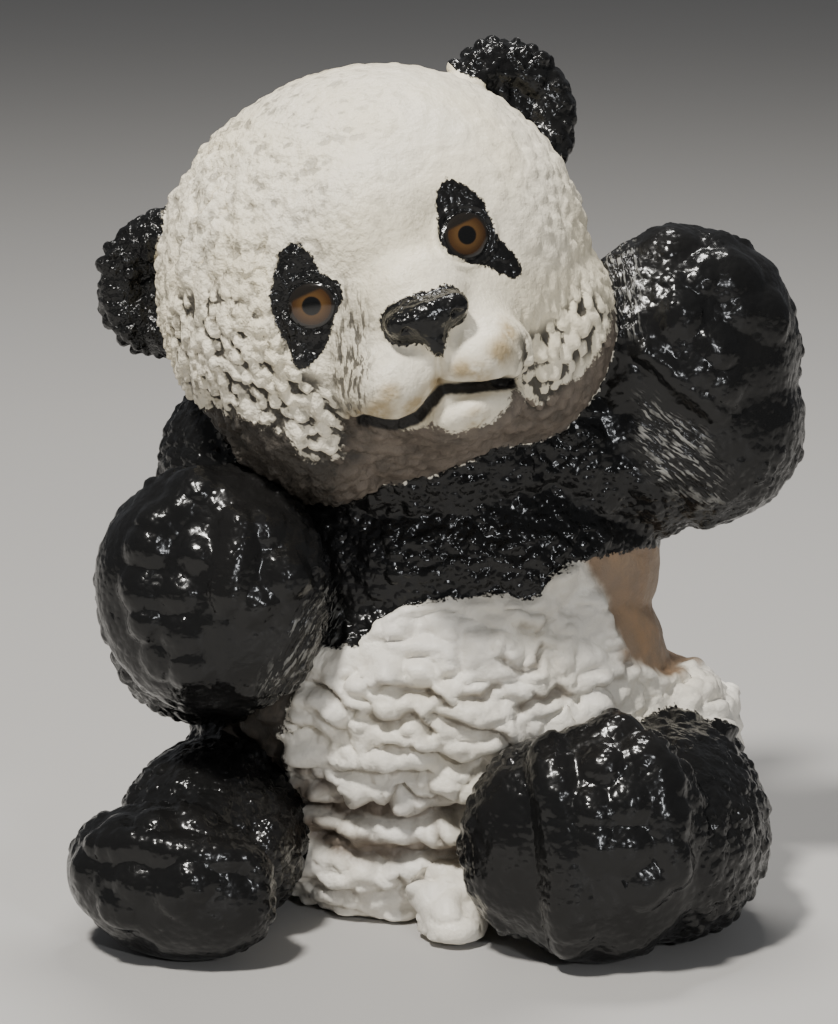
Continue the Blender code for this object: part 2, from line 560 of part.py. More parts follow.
def carve_wool(skin, where, front):
    """Grows the tufts: deep on the body and the lower cheeks, shallow elsewhere."""
    local = on_head(skin.points)
    count = len(skin.points)
    ear = step(where["ear"], *EDGE_BLEND)
    head = step(where["head"], *EDGE_BLEND) * (1 - ear)
    limb = step(where["limb"], *EDGE_BLEND) * (1 - head)
    across = (local[:, 0] - FACE_CENTRE[0]) / FACE_RADII[0]
    up = (local[:, 2] - FACE_CENTRE[1]) / FACE_RADII[1]
    open_face = step(np.hypot(across, up), *FACE_BLEND) + (local[:, 1] > 0)
    wool = head * np.minimum(open_face, 1)
    low = step(-local[:, 2], *CHEEK_START)
    belly = (1 - head) * (1 - ear) * (1 - limb) * (1 - (1 - FRONT_TUFTS) * front)
    hide = limb * (1 - palms(skin.points))
    down = np.tile((0.0, 0.0, -1.0), (count, 1))
    outward = local - np.array(MUZZLE)
    outward = outward @ np.array(head_frame())[:3, :3].T
    outward /= np.linalg.norm(outward, axis=1)[:, None]
    heights = np.zeros(count)
    for place, lie, form in (
        (belly, down, BELLY_TUFTS),
        (wool * low, outward, CHEEK_TUFTS),
        (wool * (1 - low), outward, CROWN_TUFTS),
        (hide, down, LIMB_TUFTS),
    ):
        heights = np.maximum(heights, grow_tufts(skin, place, lie, form))
    skin.lift(heights * step(skin.points[:, 2], *FLOOR_BLEND))


def carve_face(skin):
    """Sinks the sockets, raises the eyeballs, and cuts the mouth and the nostrils."""
    local = on_head(skin.points)
    spots = local[:, (0, 2)]
    front = np.clip((-FACE_START - local[:, 1]) / (FACE_FULL - FACE_START), 0, 1)
    heights = np.zeros(len(spots))
    for side, eye in zip((-1, 1), EYES):
        apart = spots - np.array(eye)
        lean = math.radians(SOCKET_LEAN) * side
        across = apart[:, 0] * math.cos(lean) + apart[:, 1] * math.sin(lean)
        along = apart[:, 1] * math.cos(lean) - apart[:, 0] * math.sin(lean)
        socket = np.hypot(across / SOCKET_RADII[0], along / SOCKET_RADII[1])
        heights -= SOCKET_DEPTH * soft(socket)
        away = np.hypot(apart[:, 0], apart[:, 1])
        heights += EYEBALL_RISE * np.sqrt(np.clip(1 - (away / EYEBALL_RADIUS) ** 2, 0, 1))
        heights += LID_RISE * soft((away - LID_RADIUS) / LID_WIDTH)
    for across, up, wide, tall, rise in PUFFS:
        away = np.hypot((spots[:, 0] - across) / wide, (spots[:, 1] - up) / tall)
        heights += rise * np.clip(1 - away**2, 0, 1) ** PUFF_FALL
    heights -= MOUTH_DEPTH * soft(from_line(spots, MOUTH) / MOUTH_WIDTH)
    heights -= PHILTRUM_DEPTH * soft(from_line(spots, PHILTRUM) / PHILTRUM_WIDTH)
    for place in NOSTRILS:
        away = np.linalg.norm(spots - np.array(place), axis=1)
        heights -= NOSTRIL_DEPTH * soft(away / NOSTRIL_RADIUS)
    skin.lift(heights * front)


def carve_paws(skin):
    """Raises the bumps and ridges of the paws and soles."""
    heights = np.zeros(len(skin.points))
    marks = list(BUMPS)
    for start, stop, radius, rise in RIDGES:
        for share in np.linspace(0, 1, RIDGE_STEPS):
            spot = [a + (b - a) * share for a, b in zip(start, stop)]
            marks.append((*spot, radius, rise))
    for across, up, radius, rise in marks:
        place = skin.seen(across, up)
        reach = radius * BUMP_SPREAD
        near = skin.near(place, reach)
        away = np.linalg.norm(skin.points[near] - np.array(place), axis=1)
        heights[near] = np.maximum(heights[near], BUMP_RISE * rise * soft(away / reach))
    skin.lift(heights)


def new_object(name, mesh, collection):
    """An object in its own collection."""
    made = bpy.data.objects.new(name, mesh)
    collection.objects.link(made)
    return made


def new_collection(name):
    """A collection in the scene."""
    made = bpy.data.collections.new(name)
    bpy.context.scene.collection.children.link(made)
    return made


def floor_cutter():
    """A block that takes away everything under the floor."""
    block = bmesh.new()
    middle = FLOOR_CUT - FLOOR_BLOCK / 2
    under = Matrix.Translation((0, 0, middle)) @ Matrix.Scale(FLOOR_BLOCK, 4)
    bmesh.ops.create_cube(block, size=1, matrix=under)
    mesh = bpy.data.meshes.new("under_floor")
    block.to_mesh(mesh)
    block.free()
    cutter = new_object("under_floor", mesh, new_collection("cutters"))
    cutter.hide_render = True
    cutter.display_type = "WIRE"
    return cutter


def thin_out(figure, skin):
    """Keeps the points where the form needs them, most of all on the face."""
    triangles = sum(len(face.vertices) - 2 for face in figure.data.polygons)
    local = on_head(skin.points)
    flat = np.hypot(local[:, 0] - CARE_CENTRE[0], local[:, 2] - CARE_CENTRE[1]) / CARE_RADIUS
    care = step(-flat, *CARE_BLEND) * step(-local[:, 1], *CARE_FORWARD)
    group = figure.vertex_groups.new(name="spare")
    for shade in range(CARE_SHADES + 1):
        alike = np.flatnonzero(np.round(care * CARE_SHADES) == shade)
        group.add(alike.tolist(), 1 - CARE * shade / CARE_SHADES, "REPLACE")
    thinning = figure.modifiers.new("thin", "DECIMATE")
    thinning.ratio = MOST_TRIANGLES / triangles
    thinning.use_collapse_triangulate = True
    thinning.vertex_group = group.name
    thinning.vertex_group_factor = CARE_FORCE
    settle(figure)


def stand_on_floor(figure):
    """Cuts the underside flat, scales to metres and moves the middle of the figure to the origin."""
    cutter = floor_cutter()
    cut = figure.modifiers.new("floor", "BOOLEAN")
    cut.operation = "DIFFERENCE"
    cut.solver = "EXACT"
    cut.object = cutter
    settle(figure)
    points = np.array([v.co for v in figure.data.vertices])
    low, high = points.min(axis=0), points.max(axis=0)
    middle = (low + high) / 2
    figure.data.transform(Matrix.Translation((-middle[0], -middle[1], -low[2])))
    figure.data.transform(Matrix.Scale(HEIGHT / (high[2] - low[2]), 4))
    cutter.data.transform(Matrix.Translation((-middle[0], -middle[1], -low[2])))
    cutter.data.transform(Matrix.Scale(HEIGHT / (high[2] - low[2]), 4))


def main():
    """Builds the figure in an empty scene."""
    for leftover in list(bpy.data.objects):
        bpy.data.objects.remove(leftover)
    figure = new_object("panda", blocked_out(), new_collection("panda"))
    fuse(figure)
    skin = Skin(figure.data)
    where = regions(skin.points)
    carve_face(skin)
    carve_paws(skin)
    front = carve_ledges(skin, where)
    carve_wool(skin, where, front)
    thin_out(figure, skin)
    stand_on_floor(figure)
    paint = bpy.data.materials.new("painted_plastic")
    figure.data.materials.clear()
    figure.data.materials.append(paint)


main()
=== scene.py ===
"""The painted look of a sitting panda cub figurine, on a pale floor in soft light.

The figure's skin is blocked out from the same lumps as the solid, fused finer, and carved: face,
paws, and several layers of wool tufts. Paint is one material that reads where it lies from
values stored on the skin. Places are in hundredths of the figure's height until the very end.
"""

import math

import bmesh
import bpy
import numpy as np
from mathutils import Euler, Matrix, Vector, kdtree
from mathutils.bvhtree import BVHTree


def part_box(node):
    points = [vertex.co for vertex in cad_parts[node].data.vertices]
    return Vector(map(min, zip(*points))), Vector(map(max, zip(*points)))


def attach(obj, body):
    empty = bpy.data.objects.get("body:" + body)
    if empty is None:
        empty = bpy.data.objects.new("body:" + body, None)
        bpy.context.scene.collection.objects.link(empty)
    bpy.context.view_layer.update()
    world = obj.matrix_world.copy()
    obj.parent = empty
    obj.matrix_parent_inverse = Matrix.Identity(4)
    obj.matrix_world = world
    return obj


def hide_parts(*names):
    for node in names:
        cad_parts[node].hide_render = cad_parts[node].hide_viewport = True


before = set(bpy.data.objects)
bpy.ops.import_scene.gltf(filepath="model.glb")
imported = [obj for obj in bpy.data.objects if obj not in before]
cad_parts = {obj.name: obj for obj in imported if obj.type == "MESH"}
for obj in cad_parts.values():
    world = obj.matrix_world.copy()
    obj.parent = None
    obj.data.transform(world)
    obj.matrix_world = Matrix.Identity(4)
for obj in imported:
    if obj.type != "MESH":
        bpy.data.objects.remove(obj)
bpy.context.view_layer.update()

bl_info = {
    "name": "Painted Panda Cub",
    "version": (1, 0, 0),
    "blender": (4, 5, 0),
    "location": "View3D > Sidebar > Panda",
    "description": "Sculpts and paints a panda cub figurine and sets its stage",
    "category": "Add Mesh",
}

SEED = 7
SMOOTHING_AT = 0.72  # the voxel at which the smoothing passes are counted
SMOOTHING_PASSES = 12
CARE_SHADES, CARE_FORCE = 10, 0.01  # how closely the points of the eyes, nose and mouth are kept

NEIGHBOURS = tuple((i, j, k) for i in (-1, 0, 1) for j in (-1, 0, 1) for k in (-1, 0, 1))
FAR = 5.0  # what is stored where a paint is nowhere near
EDGE = (-0.5, 0.5)  # over what distance one part of the body passes into the next
BLACK_EDGE = (-0.3, 0.6)

# The side that the cub shows: how far above level it is seen from, and from how far away.
VIEW_TILT = 12.0
VIEW_DISTANCE = 444.0
VIEW_CENTRE = (-1.6, 43.8)
VIEW_WIDTH = 97.4
FILM_WIDTH = 36.0

# Lamps: place, width and colour. Then where they point, the air's light and the paper's two tones.
LAMPS = {
    "key": ((-0.103, -0.151, 0.322), 0.045, (1.0, 0.97, 0.92)),
    "fill": ((0.12, -0.30, 0.13), 0.03, (0.95, 0.97, 1.0)),
    "top": ((0.02, 0.10, 0.30), 0.06, (1.0, 0.98, 0.95)),
}
LAMP_AIM = (0.0, 0.0, 0.022)
AIR_COLOUR, AIR_STRENGTH = (0.36, 0.37, 0.39, 1), 0.32
PAPER_COLOURS = (0.43, 0.42, 0.405, 1), (0.40, 0.39, 0.375, 1)

# Frames: where a group of lumps stands, and how it is turned, in degrees about X, Y and Z.
HEAD_PLACE = (-5.8, -6.0, 74.3)
HEAD_PITCH, HEAD_ROLL, HEAD_YAW = -8.0, -25.0, 4.5
HAND_PLACE = (-24.4, -15.0, 39.2)
HAND_TURN = (-8.0, -28.0, -14.0)
WAVE_PLACE = (29.0, -1.0, 60.4)
WAVE_TURN = (-8.0, -6.0, 14.0)
RIGHT_SOLE_PLACE = (16.0, -25.5, 13.4)
RIGHT_SOLE_TURN = (-4.0, 8.0, -10.0)
LEFT_SOLE_PLACE = (-29.0, -23.5, 8.2)
LEFT_SOLE_TURN = (-24.0, -84.0, -4.0)

# Lumps: centre, radii, and for some a turn about X, Y and Z.
TORSO = (
    ((4.5, 5.0, 14.5), (25.5, 21.0, 18.5)),
    ((2.0, -0.5, 26.0), (25.0, 18.5, 20.0)),
    ((1.5, 1.0, 40.0), (24.5, 17.0, 16.0), (0, 4, 0)),
    ((-1.0, 0.5, 52.0), (20.0, 15.5, 12.0)),
    ((-4.5, -4.0, 9.0), (12.6, 10.5, 13.0)),
    ((22.5, 1.0, 17.5), (12.6, 12.0, 11.0)),
    ((1.4, -13.0, 4.0), (3.4, 9.0, 3.6), (20, 0, 6)),
    ((1.0, 25.5, 9.0), (6.0, 4.5, 6.0)),
)
LEFT_ARM = (
    ((-19.0, 4.0, 48.5), (12.4, 12.5, 13.5), (0, 14, 0)),
    ((-24.5, 1.5, 36.0), (10.0, 10.5, 13.0), (0, 4, 0)),
    ((-26.0, -5.5, 31.0), (10.0, 11.0, 9.0), (-20, 0, 0)),
)
RIGHT_ARM = (
    ((15.5, 1.5, 52.0), (12.0, 12.0, 12.0)),
    ((22.5, 0.5, 53.2), (11.0, 10.0, 11.5), (0, -10, 0)),
)
RIGHT_LEG = (
    ((20.5, -4.0, 13.0), (15.5, 15.0, 12.5)),
    ((25.2, -13.5, 11.2), (12.4, 17.0, 12.2), (0, 0, -6)),
)
LEFT_LEG = (
    ((-18.0, 3.0, 13.0), (11.0, 12.0, 12.0)),
    ((-25.0, -10.0, 9.5), (10.5, 13.0, 10.5), (0, 0, 6)),
)
HEAD = (
    ((-1.0, 1.5, -1.2), (24.0, 23.2, 23.3)),
    ((-12.0, -1.5, -9.0), (11.4, 14.0, 13.0)),
    ((8.0, -0.5, -11.5), (13.6, 14.0, 13.4)),
    ((-0.8, -14.5, -10.0), (11.0, 10.5, 8.6)),
    ((0.2, -17.5, -4.5), (7.0, 8.0, 7.0)),
    ((-0.5, -13.5, 3.5), (9.0, 9.0, 10.0)),
    ((-5.0, -19.4, -11.0), (6.0, 5.8, 4.7), (0, -8, 0)),
    ((3.6, -19.4, -12.0), (6.0, 5.8, 4.7), (0, 8, 0)),
    ((0.6, -18.0, -17.0), (6.2, 5.0, 3.6), (0, 8, 0)),
)
NOSE = (
    ((-1.9, -25.4, -5.9), (2.5, 2.4, 1.9), (0, 6, 0)),
    ((2.9, -25.4, -6.4), (2.5, 2.4, 1.9), (0, 6, 0)),
    ((0.5, -25.9, -6.2), (3.4, 2.4, 2.0), (0, 6, 0)),
    ((0.1, -25.2, -8.8), (1.5, 2.2, 2.4)),
)
LEFT_EAR_PLACE = (-22.1, 7.5, 7.5)
RIGHT_EAR_PLACE = (20.4, 7.5, 8.7)
EAR_TURN = 22.0
EAR_RIM_RADIUS, EAR_RIM_THICKNESS = 5.6, 2.7
EAR_RIM_BEADS = 18
EAR_BACK = ((0.0, 1.8, 0.0), (7.2, 3.0, 7.2))
HAND = (((0, 0, 0), (13.4, 8.4, 13.8)),)
WAVING_HAND = (
    ((0, 0, 3.4), (13.2, 9.0, 13.8)),
    ((1.0, 1.5, -5.6), (11.8, 9.4, 11.2)),
)
RIGHT_SOLE = (
    ((2.2, 0, 0.4), (11.4, 7.6, 13.6)),
    ((-4.6, 1.5, -1.0), (8.6, 7.6, 11.0)),
)
LEFT_SOLE = (((0, 0, 0), (8.4, 7.6, 12.6)),)

BALL_SIDES = 48
EAR_GAP, EAR_REACH, EAR_SIDE = 0.6, 4.0, 17  # where an ear's black starts, ends and is looked for

# Places on the face are across and up from the middle of the head.
EYES = ((-9.8, -0.4), (8.3, -0.6))
FACE_START, FACE_BLEND = 10, 4  # how far forward of the head's middle the face starts
FACE_BACK, NOSE_BACK = -8, -16  # the furthest back that paint of the face and the nose reaches
EYEBALL_RADIUS, EYEBALL_RISE = 2.7, 1.25
# The last of these edges is where the painted shade of the upper lid darkens the top of the iris.
PUPIL_EDGE, IRIS_EDGE, EYE_EDGE, LID_SHADE_EDGE = (0.9, 1.1), (1.95, 2.2), (2.35, 2.5), (1.1, 1.5)
EYE_REACH, NO_EYE = (3.2, 3.8), 9.0  # past this the eye's paint stops, and what stands for no eye
EYE_DARK, PUPIL_DARK = (0.012, 0.010, 0.008, 1), (0.004, 0.004, 0.004, 1)
SOCKET_RADII, SOCKET_LEAN, SOCKET_DEPTH = (4.6, 7.2), 24.0, 1.5
LID_RADIUS, LID_WIDTH, LID_RISE = 3.2, 0.7, 0.4
MOUTH = (
    (-9.9, -13.7), (-7.1, -15.7), (-4.4, -15.8), (-1.9, -14.4), (-1.1, -14.1), (2.3, -15.4), (5.9, -16.8),
)
MOUTH_WIDTH, MOUTH_DEPTH = 1.2, 2.0
PHILTRUM = ((-0.3, -10.8), (-1.2, -13.8))
PHILTRUM_WIDTH, PHILTRUM_DEPTH = 0.7, 0.8
NOSTRILS = ((-2.4, -6.9), (3.2, -7.4))
NOSTRIL_RADIUS, NOSTRIL_DEPTH = 0.9, 0.7
# The lobes of the muzzle and the lower lip: across, up, two radii, rise.
PUFFS = (
    (-5.6, -11.4, 5.0, 4.0, 1.5), (3.3, -12.7, 4.6, 3.2, 1.3), (0.4, -17.3, 4.6, 1.7, 1.2),
)
PUFF_FALL = 1.3  # how steeply they end
CARE_CIRCLE = (-0.8, -6.0, 16.0)  # the circle of the face: across, up, radius
FACE_CARE, FRONT_CARE, FACE_DEPTH = 0.5, 0.3, (8.0, 12.0)

# Bumps and ridges on paws and soles, placed as seen: across, up, radius, rise.
BUMP_SPREAD, BUMP_RISE = 1.15, 1.3  # how much wider and higher than listed the bumps stand
BUMPS = (
    (-28.3, 47.0, 2.9, 1.1), (-30.0, 44.6, 2.6, 0.9), (-31.8, 42.8, 2.6, 0.9), (-33.2, 39.6, 2.6, 1.0),
    (-34.0, 34.8, 2.8, 1.0), (-33.6, 30.8, 2.2, 0.8), (-29.2, 29.4, 2.4, 0.8), (-28.2, 25.4, 2.6, 0.9),
    (-32.0, 26.4, 2.2, 0.7), (-29.8, 34.2, 2.2, 0.8), (-27.8, 39.0, 2.0, 0.7), (-19.6, 42.6, 2.6, 0.9),
    (-16.8, 36.4, 2.6, 0.8), (-20.6, 33.0, 2.4, 0.7), (21.8, 76.0, 3.0, 1.0), (27.4, 75.4, 3.0, 1.0),
    (35.0, 71.2, 3.4, 1.2), (39.2, 66.6, 3.0, 1.0), (32.4, 71.6, 2.6, 0.9), (36.8, 67.4, 2.6, 0.9),
    (28.8, 66.6, 2.4, 0.8), (33.2, 63.0, 2.4, 0.8), (30.6, 59.8, 2.2, 0.7), (33.6, 58.0, 2.2, 0.7),
    (-37.2, 7.0, 2.6, 0.9), (-32.2, 7.8, 2.6, 0.9), (-28.0, 8.4, 2.4, 0.9), (-25.6, 8.8, 2.2, 0.7),
    (-18.4, 5.2, 2.8, 1.0), (-41.0, 2.8, 2.4, 0.8), (-35.0, 0.6, 2.2, 0.7), (-36.6, -2.8, 2.4, 0.7),
    (-28.2, 1.0, 2.4, 0.8), (-30.0, -0.8, 2.2, 0.7), (-20.6, 3.2, 2.4, 0.8), (17.8, 19.6, 2.8, 1.2),
    (14.8, 18.2, 2.4, 0.9), (21.6, 19.2, 2.4, 0.9), (25.0, 16.0, 2.6, 0.9), (27.0, 12.2, 2.6, 0.8),
    (19.6, 14.6, 2.2, 0.8), (18.2, 9.4, 2.4, 0.8), (18.4, 4.8, 2.4, 0.8), (23.0, 10.2, 2.4, 0.8),
    (23.0, 4.4, 2.4, 0.8), (25.0, 0.0, 2.6, 0.8), (28.4, 8.0, 2.6, 0.9),
)
RIDGE_STEPS = 14
PALM_EDGE, PALM_FACING = (-1.35, -1.2), (0.0, 0.35)  # where a palm ends, and how far round it reaches
RIDGES = (
    ((-22.6, 42.0), (-23.6, 34.6), 2.4, 1.3),
    ((24.9, 62.2), (33.0, 55.4), 1.4, 0.7),
    ((13.2, 16.0), (16.2, -6.4), 2.6, 1.3),
    ((26.4, 14.4), (28.4, 2.0), 2.0, 0.8),
    ((-39.0, 5.6), (-21.0, 3.6), 1.9, 1.0),
)

# Rows of wool on the belly, cut under from below, as seen: a line, how thick, how deep, how brown.
LEDGES = (
    (((-5.9, 23.9), (-3.4, 23.3), (-0.2, 23.3), (0.8, 22.4), (1.8, 21.4)), 0.9, 1.3, 0.5),
    (((-13.4, 24.2), (-11.6, 23.5), (-10.2, 22.3), (-9.0, 21.2)), 0.7, 1.0, 0.5),
    (((-6.8, 20.3), (-5.2, 19.5), (-3.6, 19.9), (-2.4, 20.8), (-1.2, 19.8), (0.0, 18.5)), 0.9, 1.2, 0.6),
    (((0.3, 20.5), (2.0, 19.6), (4.2, 19.2), (5.8, 18.8), (7.6, 18.5), (9.2, 16.8)), 0.9, 1.3, 0.5),
    (((-5.2, 17.1), (-3.5, 16.7), (-1.8, 16.9), (0.3, 16.0), (2.4, 15.0), (4.1, 14.6)), 0.7, 1.2, 0.4),
    (((4.1, 14.6), (5.5, 15.2), (6.5, 16.0), (9.5, 16.6)), 0.7, 1.1, 0.4),
    (((-15.2, 15.0), (-13.5, 13.8), (-12.2, 12.9), (-10.8, 12.3)), 1.2, 1.1, 0.8),
    (((-10.6, 14.3), (-8.3, 14.5), (-5.2, 14.2), (-3.0, 14.1), (-0.6, 14.2)), 0.8, 1.1, 0.5),
    (((-15.0, 12.0), (-12.8, 10.3), (-10.0, 9.7), (-6.6, 9.9), (-4.9, 9.6)), 2.2, 1.8, 1.0),
    (((-4.9, 9.6), (-3.1, 8.8), (-0.4, 9.2), (2.0, 9.7), (5.0, 10.2)), 1.5, 1.6, 0.8),
    (((-5.0, 10.8), (-4.3, 12.3), (-3.3, 12.4), (-1.8, 11.4), (0.0, 10.8), (1.8, 11.6)), 0.6, 1.0, 0.6),
    (((-13.4, 6.8), (-11.4, 5.8), (-9.4, 4.9), (-7.0, 4.4), (-4.5, 4.7)), 2.3, 1.7, 1.0),
    (((-4.5, 4.7), (-2.8, 5.1), (-0.4, 5.1), (3.6, 4.7)), 1.7, 1.5, 0.9),
    (((-4.0, 1.7), (-2.8, 0.7), (-0.9, 0.9)), 0.8, 0.9, 0.4),
    (((-13.6, 1.6), (-11.4, 0.3), (-8.0, -0.4), (-4.4, 0.3)), 0.9, 0.7, 0.3),
    (((7.8, 27.0), (9.3, 25.5), (10.7, 25.2), (11.6, 26.0), (12.2, 28.0)), 0.7, 1.0, 0.5),
    (((9.8, 30.5), (12.0, 29.8), (13.2, 31.2)), 0.6, 0.9, 0.4),
    (((3.6, 22.7), (5.6, 22.3), (7.3, 23.7)), 0.8, 0.8, 0.6),
    (((10.2, 21.3), (11.4, 22.2), (12.9, 22.5), (13.9, 23.3), (15.0, 23.0)), 0.9, 0.9, 0.7),
    (((-15.5, 20.4), (-14.6, 19.2), (-13.0, 18.9)), 0.6, 0.9, 0.4),
    (((-12.8, 21.4), (-11.6, 20.0), (-10.6, 18.9)), 0.6, 0.9, 0.4),
    (((18.6, 23.6), (20.2, 23.9), (21.5, 25.0), (22.0, 26.4)), 0.7, 0.9, 0.4),
    (((0.2, 8.5), (1.0, 6.9), (2.6, 5.8)), 0.8, 1.0, 0.5),
)
ROWS_START, ROWS_EDGE, ROWS_GAP = (-4.0, 0.0), (-1.2, 0.3), (-0.6, 0.4)  # back, paint's edge, black
ROWS_FOOT, FOOT_BLEND = (0.3, 1.5), (0.5, 2.0)  # over what height the carving comes in above the floor
LIP_SHARE = 0.5  # how far a row swells above its cut, as a share of the cut's depth
LIP_RISE, LIP_SPAN, LIP_END = 0.7, 1.8, 1.6  # the lip's crest above the cut, its half width, its ends
LIP_REACH = 4.5
CUT_REACH = (0.62, 1.6)  # how far a cut runs above and below its line, in thicknesses
CUT_FLAT = 0.15  # the share of a cut that lies at its full depth
BROWN_REACH = (0.35, 1.0)  # how far the wash runs from the line of a cut, in thicknesses
ROW_WANDER, ROW_WANDER_SIZE = 0.4, 1.3  # how far the rows wander, and over what distance
WANDER_SEEDS, LUMP_SEED, FOLD_SEED = (11, 12), 3, 21
BELLY_LUMPS = ((3.4, 0.5), (1.6, 0.24))  # broad and small swellings between the rows: size, rise
FOLDS = ((3.2, 1.5), (1.6, 0.75))  # rounded folds with creases between them: size, rise
FOLD_ROUNDNESS = 0.7
LUMP_FLATNESS = (1.0, 1.0, 1.5)  # the swellings are less tall than wide

# Tufts of wool: how far apart, how long, how wide to each side, how high.
BELLY_TUFTS = (3.0, 5.0, 3.0, 1.35)
CHEEK_TUFTS = (1.35, 3.1, 0.9, 1.0)
CROWN_TUFTS = (1.9, 2.6, 1.1, 0.5)
LIMB_TUFTS = (2.6, 4.2, 1.7, 0.36)
PEBBLES = (1.35, 0.85, 0.44)  # how far apart, radius, height
PALM_SHARE = 0.3  # the share of the pebbles' height on palms and soles
CLUSTER, CLUSTER_SHARE = 4.5, 0.3  # the width of the clusters of pebbles, and how flat it is between them
GROOVES = (1.8, 0.3, 0.2, 0.85)  # grooves down the head: apart, how drawn out, half width, depth
TUFT_STRAY = 0.4  # how far a tuft's lie strays from its neighbours'
CREVICE_TOP = 0.8  # the height of wool at which a crevice ends
FACE_MIDDLE, FACE_RADII, FACE_SMOOTH = (-0.8, -4.0), (15.0, 18.5), 0.3  # the face that stays smooth
FLAKES_EDGE, TAN_END = (-2.0, 1.0), (-9.0, -6.0)
LOW_SHARE, LOW_START = 0.55, (4.0, 12.0)  # the cheek's tufts under the face
LEFT_START, RIGHT_START = (3.0, 15.0), (12.0, 20.0)
CROWN_SHARES = (0.35, 0.65, 0.4)  # of the crown's tufts: everywhere, more at the left, more at the right
ROWS_CALM, TAN_CALM = 0.8, 0.85  # how much lower the tufts are between the rows and on the tan
CROWN_SOURCE = (-0.5, -30.0, -4.0)  # where the hair of the head lies away from
WAVE_DRAWN, CREASE_DRAWN = (1.0, 1.0, 0.7), (1.0, 1.0, 0.45)

# Where hair and paint lie combed: an outline, and which way the hair lies, as seen from there.
LEFT_FLAKES = (
    (-27.0, 7.0), (-21.7, 6.1), (-17.8, 4.9), (-15.8, 1.9), (-14.3, -1.5), (-14.0, -6.2), (-12.1, -9.5),
    (-11.7, -13.1), (-13.6, -17.1), (-17.0, -15.5), (-18.7, -10.9), (-22.7, -7.6), (-27.0, -1.6),
)
LEFT_SLANT, RIGHT_SLANT = (0.5, -0.87), (-0.3, -0.95)
RIGHT_FLAKES = (
    (8.8, -13.1), (11.2, -13.8), (14.6, -13.3), (17.5, -11.6), (20.0, -14.8), (19.2, -18.4),
    (14.2, -18.0), (12.0, -19.8), (8.9, -21.1), (6.9, -20.2), (6.1, -18.1),
)
STRANDS = (
    (-5.6, 0.3), (-5.0, -1.3), (-5.1, -4.4), (-6.6, -6.8), (-8.0, -10.6), (-10.3, -12.6),
    (-11.3, -11.8), (-11.0, -8.2), (-9.7, -5.3), (-7.6, -3.2),
)
HEAD_COMBS = ((LEFT_FLAKES, LEFT_SLANT), (RIGHT_FLAKES, RIGHT_SLANT), (STRANDS, (-0.35, -0.94)))
BODY_COMBS = (
    (
        (
            (-12.0, 34.8), (-11.4, 31.3), (-13.1, 26.6), (-16.6, 22.6), (-19.5, 21.4), (-19.2, 24.3),
            (-16.6, 27.8), (-14.9, 32.4),
        ),
        (-0.5, -0.87),
    ),
    (
        (
            (24.1, 56.9), (27.0, 55.1), (31.0, 52.2), (33.6, 48.7), (33.4, 45.2), (31.0, 44.7),
            (26.4, 47.6), (24.1, 52.2),
        ),
        (0.8, -0.6),
    ),
    (((19.6, 77.5), (22.5, 77.0), (23.4, 70.0), (23.4, 65.0), (20.8, 65.0), (20.2, 70.0)), (0.25, -0.97)),
)

# Outlines of paint on the head: across and up from its middle.
EYE_PATCHES = (
    (
        (-8.9, 6.6), (-7.6, 4.7), (-7.4, 2.5), (-6.0, 0.4), (-6.6, -1.3), (-8.0, -2.4), (-9.1, -3.8),
        (-10.9, -5.6), (-12.6, -6.0), (-13.4, -6.3), (-14.1, -5.3), (-13.8, -2.8), (-14.1, -0.3),
        (-13.6, 1.8), (-11.8, 4.6), (-10.4, 6.2),
    ),
    (
        (9.1, 5.9), (10.2, 4.7), (11.5, 2.3), (11.5, 0.3), (11.3, -1.7), (11.8, -3.7), (12.5, -5.6),
        (11.9, -7.0), (11.2, -7.2), (10.2, -6.4), (9.0, -4.7), (7.2, -3.4), (5.5, -1.4), (5.3, 0.2),
        (6.1, 2.1), (6.5, 3.5), (7.8, 5.3),
    ),
)
NOSE_OUTLINE = (
    (-4.0, -5.7), (-3.0, -4.8), (-0.9, -4.6), (1.4, -4.6), (3.7, -5.1), (5.1, -6.1), (5.0, -7.1),
    (3.6, -7.9), (2.2, -8.4), (1.2, -9.3), (0.2, -10.8), (-0.6, -10.4), (-1.1, -8.6), (-2.7, -8.0),
    (-4.0, -7.5), (-4.4, -6.7),
)
NOSE_PAINT = 0.55  # how far the paint runs over the lobes of the nose
NOSE_FOOT = -8.6  # how low it does so
JAW_OUTLINE = (
    (-40.0, 40.0), (-40.0, 2.3), (-25.3, 2.3), (-23.7, -0.8), (-23.6, -5.0), (-22.1, -7.7), (-20.6, -8.8),
    (-18.7, -10.7), (-17.3, -12.8), (-17.1, -15.3), (-13.6, -16.8), (-12.1, -12.8), (-10.4, -12.9),
    (-8.0, -15.1), (-5.3, -16.7), (-3.6, -17.0), (-1.3, -19.0), (3.1, -19.1), (5.3, -17.9), (6.3, -17.0),
    (6.6, -18.5), (8.4, -20.7), (11.2, -19.9), (13.6, -20.0), (17.2, -18.4), (22.0, -14.0),
    (40.0, -8.0), (40.0, 40.0),
)
# Ochre stains on the muzzle, some laid low on its lobes as painted shade under them: across, up, reach.
OCHRE_AND_SHADE_SPOTS = (
    (-4.6, -14.2, 2.6), (-8.2, -13.2, 2.4), (-6.4, -12.0, 2.0), (5.9, -12.9, 2.6), (3.0, -13.9, 2.2),
    (7.6, -11.4, 2.2), (1.4, -12.8, 1.8), (-1.6, -13.2, 1.8), (0.8, -18.4, 2.0), (-10.4, -13.0, 1.8),
)

